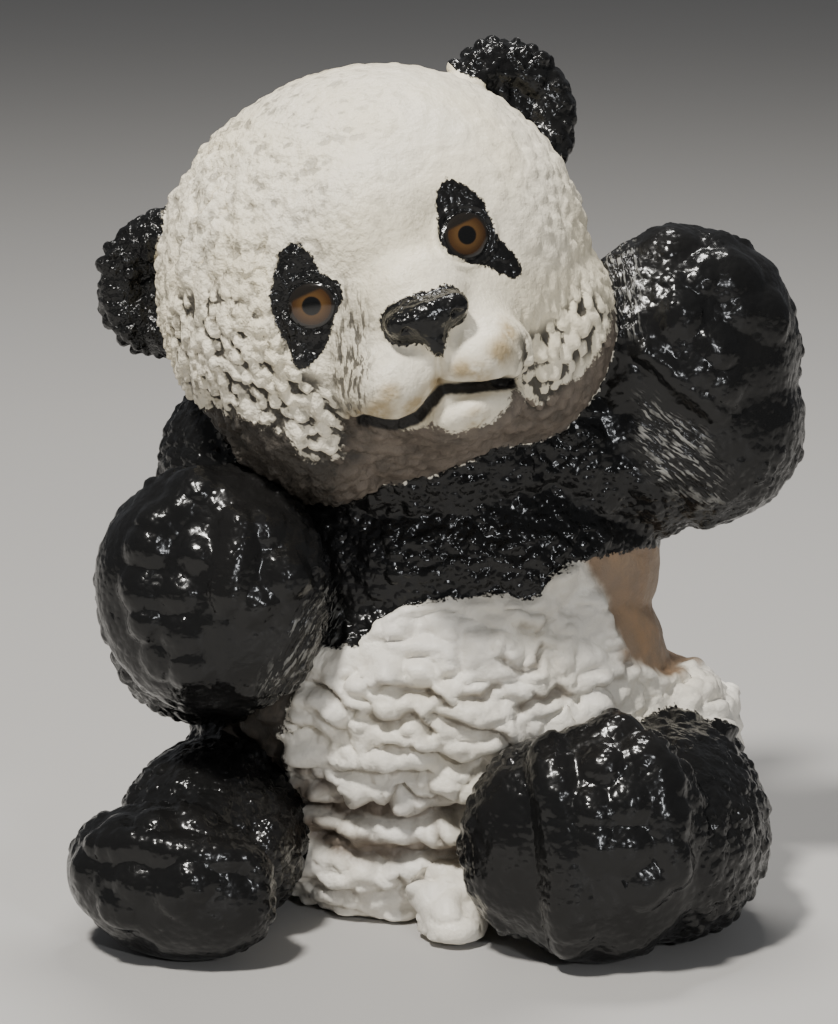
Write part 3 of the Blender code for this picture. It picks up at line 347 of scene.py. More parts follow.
# Outlines of paint on the body, as seen: across and up. Some share an edge.
CHEST_EDGE = (
    (-12.5, 27.9), (-8.4, 27.9), (-6.3, 31.0), (-2.8, 32.7), (0.3, 33.6), (3.8, 33.6), (7.2, 34.5),
    (10.3, 33.6), (12.8, 34.5), (13.5, 36.2), (15.9, 37.6),
)
TAN_EDGE = (
    (16.5, 37.8), (19.0, 33.8), (20.7, 29.3), (22.1, 26.2), (25.9, 24.4), (27.7, 24.2), (30.1, 25.8),
)
FLANK_EDGE = ((-15.1, 9.5), (-16.5, 15.1), (-15.8, 19.9), (-14.8, 24.1))
BELLY_OUTLINE = (
    *CHEST_EDGE, *TAN_EDGE, (38.0, 28.0), (38.0, 20.0), (33.5, 20.8), (30.1, 21.0), (28.4, 21.5),
    (24.9, 19.9), (22.4, 18.5), (14.8, 17.3), (7.8, 10.3), (7.0, 4.5), (7.0, -2.9), (5.5, -4.2),
    (1.4, -9.0), (-2.7, -6.0), (-3.5, -6.0), (-11.5, -6.0), (-17.0, -4.0), (-17.2, -0.3),
    (-15.5, 2.7), (-14.4, 6.7), *FLANK_EDGE, (-13.7, 26.2),
)
TAN_OUTLINE = ((14.5, 41.0), *TAN_EDGE, (33.0, 29.0), (36.0, 36.0), (36.0, 46.0), (14.5, 46.0))
FLANK_OUTLINE = (
    (-25.0, 26.0), (-14.0, 28.0), *FLANK_EDGE[::-1], (-16.0, 8.6), (-19.0, 11.0), (-22.0, 14.5),
    (-26.0, 17.0),
)
JAW_TOP = -6
WOBBLE = (3.0, 31)  # the size and the seed of the waves that an edge of paint wanders in
FLANK_END, TAN_BACK, RUB_BACK = (-2.0, 3.0), (4.0, 9.0), 6  # how far back these paints reach
COMBED_EDGE, COMBED_BACK = (-2.5, 1.5), (-9.0, -4.0)
PALE_DEPTH = 5.0  # how far back the outlines follow the view; behind it they run straight

# The lower edge of the black band over the chest, as seen.
BAND_EDGE = ((-40, 27.0), *CHEST_EDGE, (24, 39.5), (40, 41.0))


def turned(place, turn=(0, 0, 0)):
    """The matrix of a frame at a place, turned about X, Y and Z in degrees."""
    angles = Euler([math.radians(a) for a in turn], "XYZ")
    return Matrix.Translation(place) @ angles.to_matrix().to_4x4()


def head_frame():
    """The head leans to one side first, then looks aside, then looks up."""
    pitch = Matrix.Rotation(math.radians(HEAD_PITCH), 4, "X")
    yaw = Matrix.Rotation(math.radians(HEAD_YAW), 4, "Z")
    roll = Matrix.Rotation(math.radians(HEAD_ROLL), 4, "Y")
    return Matrix.Translation(HEAD_PLACE) @ pitch @ yaw @ roll


def ear_lumps(place, turn):
    """A cupped ear in its own frame: a ring of beads for the rim, and a flat lump for its back."""
    ear = head_frame() @ turned(place, (0, 0, turn))
    beads = []
    for k in range(EAR_RIM_BEADS):
        angle = 2 * math.pi * k / EAR_RIM_BEADS
        centre = (EAR_RIM_RADIUS * math.cos(angle), 0, EAR_RIM_RADIUS * math.sin(angle))
        beads.append((centre, (EAR_RIM_THICKNESS,) * 3))
    return [(ear, (*beads, EAR_BACK))]


def groups():
    """The lumps of the whole figure by the part of the body they belong to, each with a frame."""
    body = Matrix.Identity(4)
    head = head_frame()
    return {
        "torso": [(body, TORSO)],
        "left_arm": [(body, LEFT_ARM), (turned(HAND_PLACE, HAND_TURN), HAND)],
        "right_arm": [(body, RIGHT_ARM), (turned(WAVE_PLACE, WAVE_TURN), WAVING_HAND)],
        "right_leg": [(body, RIGHT_LEG), (turned(RIGHT_SOLE_PLACE, RIGHT_SOLE_TURN), RIGHT_SOLE)],
        "left_leg": [(body, LEFT_LEG), (turned(LEFT_SOLE_PLACE, LEFT_SOLE_TURN), LEFT_SOLE)],
        "head": [(head, HEAD), (head, NOSE)],
        "left_ear": ear_lumps(LEFT_EAR_PLACE, -EAR_TURN),
        "right_ear": ear_lumps(RIGHT_EAR_PLACE, EAR_TURN),
    }


def nearness(points, group):
    """How far outside a group of lumps each point lies, roughly; negative is inside."""
    best = np.full(len(points), np.inf)
    for around, lumps in group:
        for centre, radii, *turn in lumps:
            place = np.array(around @ turned(centre, *turn))
            local = (points - place[:3, 3]) @ place[:3, :3] / np.array(radii)
            reach = np.linalg.norm(local, axis=1)
            best = np.minimum(best, (reach - 1) * min(radii))
    return best


def ball():
    """A sphere of radius one, the stuff of every lump."""
    form = bmesh.new()
    bmesh.ops.create_uvsphere(form, u_segments=BALL_SIDES, v_segments=BALL_SIDES // 2, radius=1)
    mesh = bpy.data.meshes.new("ball")
    form.to_mesh(mesh)
    form.free()
    return mesh


def blocked_out():
    """The whole figure as overlapping lumps, which are not yet one skin."""
    clay = bmesh.new()
    for group in groups().values():
        for around, lumps in group:
            for centre, radii, *turn in lumps:
                lump = ball()
                lump.transform(around @ turned(centre, *turn) @ Matrix.Diagonal((*radii, 1)))
                clay.from_mesh(lump)
                bpy.data.meshes.remove(lump)
    mesh = bpy.data.meshes.new("panda_cub")
    clay.to_mesh(mesh)
    clay.free()
    return mesh


def settle(figure):
    """Replaces the mesh by what its modifiers make of it, and drops the modifiers."""
    graph = bpy.context.evaluated_depsgraph_get()
    settled = bpy.data.meshes.new_from_object(figure.evaluated_get(graph))
    figure.modifiers.clear()
    figure.data = settled


def fuse(figure, voxel):
    """Melts the lumps into one closed skin and softens the creases between them."""
    fusing = figure.modifiers.new("fuse", "REMESH")
    fusing.mode = "VOXEL"
    fusing.voxel_size = voxel
    softening = figure.modifiers.new("soften", "SMOOTH")
    softening.factor = 0.5
    softening.iterations = round(SMOOTHING_PASSES * (SMOOTHING_AT / voxel) ** 2)
    settle(figure)


class Skin:
    """The points of the fused skin as arrays, and ways to push them in and out."""

    def __init__(self, mesh):
        self.mesh = mesh
        self.points = np.empty(len(mesh.vertices) * 3)
        mesh.vertices.foreach_get("co", self.points)
        self.points = self.points.reshape(-1, 3)
        self.read_normals()
        places = self.points.tolist()
        self.faces = BVHTree.FromPolygons(places, [face.vertices[:] for face in mesh.polygons])
        self.tree = kdtree.KDTree(len(places))
        for k, place in enumerate(places):
            self.tree.insert(place, k)
        self.tree.balance()

    def read_normals(self):
        """Takes the directions that the skin faces from the mesh as it is now."""
        normals = np.empty(len(self.mesh.vertices) * 3)
        self.mesh.vertices.foreach_get("normal", normals)
        self.normals = normals.reshape(-1, 3)

    def lift(self, heights):
        """Moves each point out along the skin's own direction, in the mesh too."""
        self.points += self.normals * heights[:, None]
        self.mesh.vertices.foreach_set("co", self.points.ravel())
        self.mesh.update()
        self.read_normals()

    def near(self, place, reach):
        """The indices of points within reach of a place."""
        return np.array([k for _, k, _ in self.tree.find_range(place, reach)], dtype=int)

    def seen(self, across, up):
        """The point of the skin behind a spot of the view that the cub shows."""
        tilt = math.radians(VIEW_TILT)
        right = Vector((1, 0, 0))
        rise = Vector((0, math.sin(tilt), math.cos(tilt)))
        toward = Vector((0, -math.cos(tilt), math.sin(tilt)))
        eye = right * VIEW_CENTRE[0] + rise * VIEW_CENTRE[1] + toward * VIEW_DISTANCE
        spot = right * across + rise * up
        hit = self.faces.ray_cast(eye, (spot - eye).normalized())[0]
        return hit or self.faces.find_nearest(spot)[0]


def soft(share):
    """One at zero, falling smoothly to nothing at one."""
    return np.clip(1 - share**2, 0, 1) ** 2


def step(values, start, stop):
    """Nothing before start, one after stop, and smooth between."""
    share = np.clip((values - start) / (stop - start), 0, 1)
    return share * share * (3 - 2 * share)


def from_line(spots, line):
    """The distance of flat spots from a line of several straight parts."""
    best = np.full(len(spots), np.inf)
    for start, stop in zip(line[:-1], line[1:]):
        start, along = np.array(start), np.array(stop) - np.array(start)
        share = np.clip((spots - start) @ along / (along @ along), 0, 1)
        best = np.minimum(best, np.linalg.norm(spots - start - share[:, None] * along, axis=1))
    return best


def inside(spots, outline):
    """How far flat spots lie inside a closed outline; negative is outside."""
    closed = (*outline, outline[0])
    away = from_line(spots, closed)
    crossings = np.zeros(len(spots), dtype=int)
    for (ax, ay), (bx, by) in zip(closed[:-1], closed[1:]):
        spans = (ay > spots[:, 1]) != (by > spots[:, 1])
        slope = (bx - ax) / (by - ay) if by != ay else 0.0
        crossings += spans & (spots[:, 0] < ax + (spots[:, 1] - ay) * slope)
    return np.where(crossings % 2 == 1, away, -away)


def on_head(points):
    """The points as the head sees them: across, back and up from its middle."""
    place = np.array(head_frame())
    return (points - place[:3, 3]) @ place[:3, :3]


def as_seen(points):
    """Where the view that the cub shows finds each point: across and up."""
    tilt = math.radians(VIEW_TILT)
    x, y, z = points.T
    rise = y * math.sin(tilt) + z * math.cos(tilt)
    toward = z * math.sin(tilt) - y * math.cos(tilt)
    share = VIEW_DISTANCE / (VIEW_DISTANCE - toward)
    across = VIEW_CENTRE[0] + (x - VIEW_CENTRE[0]) * share
    up = VIEW_CENTRE[1] + (rise - VIEW_CENTRE[1]) * share
    return np.column_stack((across, up))


def value_noise(points, size, seed):
    """Smooth noise between -1 and 1 whose blotches are about so large."""
    spots = points / size + seed * 17.31
    low = np.floor(spots).astype(np.int64)
    share = spots - low
    share = share * share * (3 - 2 * share)
    total = np.zeros(len(points))
    for corner in range(8):
        offset = np.array((corner & 1, corner >> 1 & 1, corner >> 2 & 1))
        cell = low + offset
        mixed = cell[:, 0] * 73856093 ^ cell[:, 1] * 19349663 ^ cell[:, 2] * 83492791
        mixed = (mixed ^ (mixed >> 13)) * 1274126177 & 0x7FFFFFFF
        level = (mixed ^ (mixed >> 16)) / 0x7FFFFFFF * 2 - 1
        weight = np.prod(np.where(offset == 1, share, 1 - share), axis=1)
        total += weight * level
    return total


def scatter(places, apart):
    """The indices of places that stand at least so far apart, in a fixed shuffled order."""
    order = np.random.default_rng(SEED).permutation(len(places))
    kept = []
    cells = {}
    reach = apart * apart
    keys = np.floor(places / apart).astype(int).tolist()
    spots = places.tolist()
    for k in order.tolist():
        i, j, h = keys[k]
        x, y, z = spots[k]
        around = (cells.get((i + di, j + dj, h + dh), ()) for di, dj, dh in NEIGHBOURS)
        if all((a - x) ** 2 + (b - y) ** 2 + (c - z) ** 2 >= reach for cell in around for a, b, c in cell):
            kept.append(k)
            cells.setdefault((i, j, h), []).append((x, y, z))
    return np.array(kept, dtype=int)


def grow_tufts(skin, where, lie, form):
    """Heights of overlapping tufts, each rising along its lie to a tip that drops off steeply."""
    apart, length, half_width, height = form
    chosen = np.flatnonzero(where > 0.04)
    roots = chosen[scatter(skin.points[chosen], apart)]
    chance = np.random.default_rng(SEED + len(roots))
    heights = np.zeros(len(skin.points))
    for root in roots:
        facing = skin.normals[root]
        along = lie[root] + chance.normal(0, TUFT_STRAY, 3)
        along -= facing * (along @ facing)
        along /= np.linalg.norm(along)
        aside = np.cross(facing, along)
        size = chance.uniform(0.75, 1.25)
        near = skin.near(skin.points[root], length * 0.75 * size)
        offset = skin.points[near] - skin.points[root]
        share = offset @ along / (length * size) + 0.5
        taper = np.clip(1 - np.clip(share - 0.3, 0, 1) ** 2 / 0.5, 0.02, 1)
        across = offset @ aside / (half_width * size * np.sqrt(taper))
        dome = np.sqrt(np.clip(1 - across**2, 0, 1))
        rise = np.clip(share / 0.75, 0, 1) * step(1 - share, 0.0, 0.22)
        heights[near] = np.maximum(heights[near], height * size * where[root] * dome * rise)
    return heights


def grow_pebbles(skin, where, form):
    """Heights of rounded pebbles of several sizes."""
    apart, radius, height = form
    chosen = np.flatnonzero(where > 0.1)
    roots = chosen[scatter(skin.points[chosen], apart)]
    chance = np.random.default_rng(SEED + len(roots))
    heights = np.zeros(len(skin.points))
    for root in roots:
        size = chance.uniform(0.5, 1.3)
        near = skin.near(skin.points[root], radius * size)
        away = np.linalg.norm(skin.points[near] - skin.points[root], axis=1) / (radius * size)
        rise = height * size * where[root] * np.sqrt(np.clip(1 - away**2, 0, 1))
        heights[near] = np.maximum(heights[near], rise)
    return heights


def carve_face(skin):
    """Sinks the sockets, raises the eyeballs, and cuts the mouth and the nostrils."""
    local = on_head(skin.points)
    spots = local[:, (0, 2)]
    front = np.clip((-FACE_START - local[:, 1]) / FACE_BLEND, 0, 1)
    heights = np.zeros(len(spots))
    for side, eye in zip((-1, 1), EYES):
        apart = spots - np.array(eye)
        lean = math.radians(SOCKET_LEAN) * side
        across = apart[:, 0] * math.cos(lean) + apart[:, 1] * math.sin(lean)
        along = apart[:, 1] * math.cos(lean) - apart[:, 0] * math.sin(lean)
        socket = np.hypot(across / SOCKET_RADII[0], along / SOCKET_RADII[1])
        heights -= SOCKET_DEPTH * soft(socket)
        away = np.hypot(apart[:, 0], apart[:, 1])
        heights += EYEBALL_RISE * np.sqrt(np.clip(1 - (away / EYEBALL_RADIUS) ** 2, 0, 1))
        heights += LID_RISE * soft((away - LID_RADIUS) / LID_WIDTH)
    for across, up, wide, tall, rise in PUFFS:
        away = np.hypot((spots[:, 0] - across) / wide, (spots[:, 1] - up) / tall)
        heights += rise * np.clip(1 - away**2, 0, 1) ** PUFF_FALL
    heights -= MOUTH_DEPTH * soft(from_line(spots, MOUTH) / MOUTH_WIDTH)
    heights -= PHILTRUM_DEPTH * soft(from_line(spots, PHILTRUM) / PHILTRUM_WIDTH)
    for place in NOSTRILS:
        away = np.linalg.norm(spots - np.array(place), axis=1)
        heights -= NOSTRIL_DEPTH * soft(away / NOSTRIL_RADIUS)
    skin.lift(heights * front)


def carve_paws(skin):
    """Raises the bumps and ridges of the paws and soles."""
    heights = np.zeros(len(skin.points))
    marks = list(BUMPS)
    for start, stop, radius, rise in RIDGES:
        for share in np.linspace(0, 1, RIDGE_STEPS):
            spot = [a + (b - a) * share for a, b in zip(start, stop)]
            marks.append((*spot, radius, rise))
    for across, up, radius, rise in marks:
        place = skin.seen(across, up)
        reach = radius * BUMP_SPREAD
        near = skin.near(place, reach)
        away = np.linalg.norm(skin.points[near] - np.array(place), axis=1)
        dome = np.clip(1 - (away / reach) ** 2, 0, 1)
        heights[near] = np.maximum(heights[near], BUMP_RISE * rise * dome)
    skin.lift(heights)


def palms(points):
    """One on the palms and the soles, nothing elsewhere."""
    most = np.zeros(len(points))
    for place, turn, lumps in (
        (HAND_PLACE, HAND_TURN, HAND),
        (WAVE_PLACE, WAVE_TURN, WAVING_HAND),
        (RIGHT_SOLE_PLACE, RIGHT_SOLE_TURN, RIGHT_SOLE),
        (LEFT_SOLE_PLACE, LEFT_SOLE_TURN, LEFT_SOLE),
    ):
        around = np.array(turned(place, turn))
        centre, radii = lumps[0][:2]
        local = (points - around[:3, 3]) @ around[:3, :3] - np.array(centre)
        local /= np.array(radii)
        within = step(-np.linalg.norm(local, axis=1), *PALM_EDGE)
        most = np.maximum(most, within * step(-local[:, 1], *PALM_FACING))
    return most


def regions(points):
    """Which part of the cub each point belongs to, and how far it is inside it."""
    parts = groups()
    near = {name: nearness(points, group) for name, group in parts.items()}
    body = Matrix.Identity(4)
    thighs = nearness(points, [(body, RIGHT_LEG[:1] + LEFT_LEG[:1])])
    calves = nearness(
        points, [(body, RIGHT_LEG[1:] + LEFT_LEG[1:]), parts["right_leg"][1], parts["left_leg"][1]]
    )
    arms = np.minimum(near["left_arm"], near["right_arm"])
    ears = np.minimum(near["left_ear"], near["right_ear"])
    head = near["head"]
    torso = near["torso"]
    clipped = points.copy()
    clipped[:, 1] = np.minimum(clipped[:, 1], PALE_DEPTH)
    seen = as_seen(clipped)
    belly = inside(seen, BELLY_OUTLINE)
    tan = inside(seen, TAN_OUTLINE)
    flank = inside(seen, FLANK_OUTLINE)
    pale = np.maximum.reduce([belly, tan, flank])
    local = on_head(points)
    trunk = np.minimum(head, torso)
    in_thigh = np.minimum(trunk - thighs, -pale)
    in_calf = np.minimum(trunk, thighs) - calves
    in_limb = np.maximum.reduce([trunk - arms, in_calf, in_thigh])
    in_band = np.minimum(head - torso, seen[:, 1] - np.interp(seen[:, 0], *zip(*BAND_EDGE)))
    in_ear = np.minimum(head - ears - EAR_GAP, EAR_REACH - ears)
    in_ear = np.where(np.abs(local[:, 0]) > EAR_SIDE, in_ear, -FAR)
    return {
        "black": np.maximum.reduce([in_limb, in_band, in_ear]),
        "ear": in_ear,
        "head": np.minimum(torso, np.minimum(arms, calves)) - head,
        "belly": belly,
        "tan": tan,
        "flank": flank,
        "seen": seen,
        "local": local,
    }


def carve_ledges(skin, where):
    """Cuts the rows of wool on the front of the belly. Returns how brown each point is."""
    front = step(-skin.points[:, 1], *ROWS_START)
    front *= step(where["belly"], *ROWS_EDGE) * (1 - step(where["black"], *ROWS_GAP))
    wander = [value_noise(skin.points, ROW_WANDER_SIZE, seed) for seed in WANDER_SEEDS]
    spots = where["seen"] + ROW_WANDER * np.column_stack(wander)
    lips = np.zeros(len(spots))
    cuts = np.zeros(len(spots))
    brown = np.zeros(len(spots))
    for line, thick, depth, wash in LEDGES:
        places, levels = np.array(line).T
        near = np.flatnonzero(from_line(spots, line) < LIP_REACH)
        across, up = spots[near].T
        away = from_line(spots[near], line) / thick
        above = up - np.interp(across, places, levels)
        cut = 1 - step(away / np.where(above > 0, *CUT_REACH), CUT_FLAT, 1)
        beyond = np.maximum(places[0] - across, across - places[-1])
        lip = soft((above - CUT_REACH[0] * thick - LIP_RISE) / LIP_SPAN) * (above > 0)
        lip *= soft(np.maximum(beyond, 0) / LIP_END)
        cuts[near] = np.maximum(cuts[near], depth * cut)
        lips[near] = np.maximum(lips[near], LIP_SHARE * depth * lip)
        brown[near] = np.maximum(brown[near], wash * (1 - step(away, *BROWN_REACH)))
    flat = skin.points * np.array(LUMP_FLATNESS)
    heights = lips - cuts
    for seed, (size, rise) in enumerate(BELLY_LUMPS, start=LUMP_SEED):
        heights += rise * value_noise(flat, size, seed)
    for seed, (size, rise) in enumerate(FOLDS, start=FOLD_SEED):
        heights += rise * np.abs(value_noise(flat, size, seed)) ** FOLD_ROUNDNESS
    skin.lift(heights * front * step(skin.points[:, 2], *ROWS_FOOT))
    return brown * front


def carve_wool(skin, where):
    """Grows the tufts and the pebbles. Returns how deep in a crevice each point lies."""
    bare = palms(skin.points)
    local = where["local"]
    count = len(local)
    y, z = skin.points[:, 1], skin.points[:, 2]
    black = step(where["black"], *BLACK_EDGE)
    ear = step(where["ear"], *EDGE)
    head = step(where["head"], *EDGE) * (1 - ear)
    (middle, level), (wide, tall) = FACE_MIDDLE, FACE_RADII
    face = soft(np.hypot((local[:, 0] - middle) / wide, (local[:, 2] - level) / tall)) * (local[:, 1] < 0)
    open_face = 1 - step(face, 0.0, FACE_SMOOTH)
    spots = local[:, (0, 2)]
    flaky = step(np.maximum(inside(spots, LEFT_FLAKES), inside(spots, RIGHT_FLAKES)), *FLAKES_EDGE)
    cheek = head * np.maximum(flaky, LOW_SHARE * step(-local[:, 2], *LOW_START) * open_face)
    left = step(-local[:, 0], *LEFT_START)
    right = step(local[:, 0], *RIGHT_START)
    shares = CROWN_SHARES[0] + CROWN_SHARES[1] * left + CROWN_SHARES[2] * right
    crown = head * (1 - flaky) * open_face * shares
    body = (1 - head) * (1 - ear) * (1 - black)
    front = step(where["belly"], -1.0, 0.5) * step(-y, *ROWS_START)
    tan = step(where["tan"], *EDGE) * step(-y, *TAN_END)
    belly = body * (1 - ROWS_CALM * front) * (1 - TAN_CALM * tan)
    hide = np.clip(black - head, 0, 1) * (1 - bare)
    down = np.tile((0.0, 0.0, -1.0), (count, 1))
    upright = np.array(head_frame())[:3, :3].T
    outward = (local - np.array(CROWN_SOURCE)) @ upright
    outward /= np.linalg.norm(outward, axis=1)[:, None]
    slant = np.where((local[:, 0] < 0)[:, None], np.array(LEFT_SLANT), np.array(RIGHT_SLANT))
    slant = np.column_stack((slant[:, 0], np.zeros(count), slant[:, 1])) @ upright
    heights = np.zeros(count)
    for place, lie, form in (
        (belly, down, BELLY_TUFTS),
        (cheek, slant, CHEEK_TUFTS),
        (crown, outward, CROWN_TUFTS),
        (hide, down, LIMB_TUFTS),
    ):
        heights = np.maximum(heights, grow_tufts(skin, place, lie, form))
    depth = np.clip(1 - heights / CREVICE_TOP, 0, 1)
    clusters = step(value_noise(skin.points, CLUSTER, 8), -0.3, 0.4)
    clusters = CLUSTER_SHARE + (1 - CLUSTER_SHARE) * clusters
    pebbled = np.clip(black - head, 0, 1) * (1 - (1 - PALM_SHARE) * bare) + ear
    heights += grow_pebbles(skin, pebbled * clusters, PEBBLES)
    apart, drawn, wide, deep = GROOVES
    lined = np.abs(value_noise(skin.points * np.array((1.0, 1.0, drawn)), apart, 6))
    rough = crown * (0.2 + 0.8 * left)
    broken = step(value_noise(skin.points, 3.0, 10), -0.3, 0.3)
    heights -= deep * (1 - step(lined, 0.0, wide)) * rough * broken
    for rise, waves, share in (
        (0.55, value_noise(local * np.array(WAVE_DRAWN), 2.2, 7), rough),
        (0.6, np.abs(value_noise(skin.points * np.array(CREASE_DRAWN), 1.1, 9)), rough),
        (0.12, value_noise(skin.points, 1.0, 1), np.maximum(0.4 * black, 0.6 * body)),
        (0.10, value_noise(skin.points, 2.6, 2), np.maximum(crown, 0.5)),
        (0.55, value_noise(skin.points, 5.0, 5), bare),
    ):
        heights += rise * waves * share
    heights *= step(z, *FOOT_BLEND)
    skin.lift(heights)
    return depth


def care_for(points):
    """How closely the points are kept: most of all at the eyes, the nose and the mouth."""
    local = on_head(points)
    spots = local[:, (0, 2)]
    away = [np.linalg.norm(spots - np.array(eye), axis=1) for eye in EYES]
    care = np.maximum.reduce([step(-a, -5.0, -3.6) for a in away])
    care = np.maximum(care, step(inside(spots, NOSE_OUTLINE), -1.2, -0.4))
    care = np.maximum(care, 1 - step(from_line(spots, MOUTH), 1.2, 2.2))
    across, up, radius = CARE_CIRCLE
    flat = np.hypot((local[:, 0] - across) / radius, (local[:, 2] - up) / radius)
    care = np.maximum(care, FACE_CARE * step(-flat, -1.0, -0.8)) * step(-local[:, 1], *FACE_DEPTH)
    return np.maximum(care, FRONT_CARE * step(-points[:, 1], -2.0, 2.0))


def thin_out(figure, most, care):
    """Keeps the points where the form needs them, most of all on the face."""
    triangles = sum(len(face.vertices) - 2 for face in figure.data.polygons)
    if triangles <= most:
        return
    group = figure.vertex_groups.new(name="spare")
    for shade in range(CARE_SHADES + 1):
        alike = np.flatnonzero(np.round(care * CARE_SHADES) == shade)
        group.add(alike.tolist(), 1 - shade / CARE_SHADES, "REPLACE")
    thinning = figure.modifiers.new("thin", "DECIMATE")
    thinning.ratio = most / triangles
    thinning.use_collapse_triangulate = True
    thinning.vertex_group = group.name
    thinning.vertex_group_factor = CARE_FORCE
    settle(figure)
    figure.vertex_groups.clear()


def store(mesh, name, values):
    """Keeps a number, or a row of three, for each point of the mesh under a name."""
    kind = "FLOAT" if values.ndim == 1 else "FLOAT_VECTOR"
    layer = mesh.attributes.new(name, kind, "POINT")
    layer.data.foreach_set("value" if kind == "FLOAT" else "vector", values.astype(np.float32).ravel())


def comb(spots, fields):
    """Lays coordinates along and across the hair in each field, and how far inside it each spot is."""
    laid = np.zeros((len(spots), 2))
    within = np.full(len(spots), -FAR)
    masks = []
    for outline, lie in fields:
        along = np.array(lie) / np.hypot(*lie)
        aside = np.array((-along[1], along[0]))
        mask = np.maximum(inside(spots, outline), -FAR)
        better = mask > within
        laid[better] = np.column_stack((spots @ along, spots @ aside))[better]
        within = np.maximum(within, mask)
        masks.append(mask)
    return laid, masks


def mark_paint(skin, where, depth, brown):
    """Stores on the mesh where each paint lies, measured in hundredths of the height."""
    mesh, points = skin.mesh, skin.points
    local = on_head(points)
    spots = local[:, (0, 2)]
    front = local[:, 1] < FACE_BACK
    patches = np.maximum.reduce([inside(spots, outline) for outline in EYE_PATCHES])
    patches = np.where(front, patches, -FAR)
    drawn = inside(spots, NOSE_OUTLINE)
    nose = np.maximum(drawn, NOSE_PAINT - nearness(points, [(head_frame(), NOSE)]))
    nose = np.where(local[:, 2] > NOSE_FOOT, nose, drawn)
    nose = np.where(local[:, 1] < NOSE_BACK, nose, -FAR)
    eyes = np.full((len(points), 3), NO_EYE)
    for eye in EYES:
        apart = spots - np.array(eye)
        closer = np.linalg.norm(apart, axis=1) < np.linalg.norm(eyes[:, :2], axis=1)
        closer &= front
        eyes[closer, :2] = apart[closer]
    eyes[:, 2] = np.linalg.norm(eyes[:, :2], axis=1)
    head = step(where["head"], *EDGE)
    on_jaw = (head > 0.3) & (local[:, 2] < JAW_TOP)
    bare = np.where(on_jaw, -inside(spots, JAW_OUTLINE), -FAR)
    wobble = value_noise(points, *WOBBLE)
    back = points[:, 1] + 2 * wobble
    flank = np.maximum(where["flank"] + wobble, -FAR) - 6 * step(back, *FLANK_END)
    bare = np.maximum(bare, np.where(head > 0.3, -FAR, flank))
    # Real ochre stain on the muzzle, partly painted shade at the undersides of the lobes.
    stain = np.maximum.reduce([
        soft(np.hypot(spots[:, 0] - across, spots[:, 1] - up) / reach) for across, up, reach in OCHRE_AND_SHADE_SPOTS
    ])
    mouth = np.where(front, from_line(spots, MOUTH), FAR)
    on_face, (left, right, strands) = comb(spots, HEAD_COMBS)
    on_body, rubbed = comb(as_seen(points), BODY_COMBS)
    laid = np.where((head > 0.5)[:, None], on_face, on_body)
    laid = np.column_stack((laid, points[:, 1]))
    for name, values in {
        "black": np.maximum(where["black"], -FAR),
        "patch": np.maximum(patches, nose),
        "eye": eyes,
        "bare": bare,
        "tan": np.maximum(where["tan"] + 1.5 * wobble, -FAR) - 6 * step(back, *TAN_BACK),
        "crevice": depth,
        "brown": brown,
        "stain": stain * front,
        "mouth": mouth,
        "comb": laid,
        "flaky": step(np.maximum(left, right), *COMBED_EDGE) * head * step(-local[:, 1], *COMBED_BACK),
        "strands": step(strands, -1.0, 0.6) * head * front,
        "rub": step(np.maximum.reduce(rubbed), -1.5, 0.5) * (1 - head) * (points[:, 1] < RUB_BACK),
        "head": head,
        "palm": palms(points),
    }.items():
        store(mesh, name, values)


def set_in_frame(figure):
    """Flattens the underside on the floor, scales to metres, and lines up with the solid."""
    points = np.empty(len(figure.data.vertices) * 3)
    figure.data.vertices.foreach_get("co", points)
    points = points.reshape(-1, 3)
    points[:, 2] = np.maximum(points[:, 2], 0)
    low, high = points.min(axis=0), points.max(axis=0)
    solid_low, solid_high = (np.array(corner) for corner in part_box("panda"))
    scale = (solid_high[2] - solid_low[2]) / (high[2] - low[2])
    middle = (low + high) / 2
    middle[2] = low[2]
    solid_middle = (solid_low + solid_high) / 2
    solid_middle[2] = solid_low[2]
    points = (points - middle) * scale + solid_middle
    figure.data.vertices.foreach_set("co", points.ravel())
    figure.data.update()
    return scale, middle


class Value:
    """A shader socket that Python's own arithmetic works on."""

    def __init__(self, tree, socket):
        self.tree = tree
        self.socket = socket

    def maths(self, operation, *others):
        """A Math node on this value and others."""
        made = node(self.tree, "ShaderNodeMath", {"operation": operation}, dict(enumerate((self, *others))))
        return Value(self.tree, made.outputs[0])

    def __add__(self, other):
        return self.maths("ADD", other)

    def __sub__(self, other):
        return self.maths("SUBTRACT", other)

    def __rsub__(self, other):
        return self * -1.0 + other

    def __mul__(self, other):
        return self.maths("MULTIPLY", other)

    __radd__ = __add__
    __rmul__ = __mul__

    def within(self, start, stop):
        """Nothing at start, one at stop, smooth between."""
        inputs = {"Value": self, "From Min": start, "From Max": stop}
        settings = {"interpolation_type": "SMOOTHSTEP"}
        made = node(self.tree, "ShaderNodeMapRange", settings, inputs)
        return Value(self.tree, made.outputs[0])


def node(tree, kind, settings, inputs):
    """A node of a kind, with its settings made first and then its sockets' values or links."""
    made = tree.nodes.new(kind)
    for name, value in settings.items():
        setattr(made, name, value)
    for name, value in inputs.items():
        socket = made.inputs[name]
        if isinstance(value, Value):
            tree.links.new(value.socket, socket)
        elif isinstance(value, bpy.types.NodeSocket):
            tree.links.new(value, socket)
        else:
            socket.default_value = value
    return made


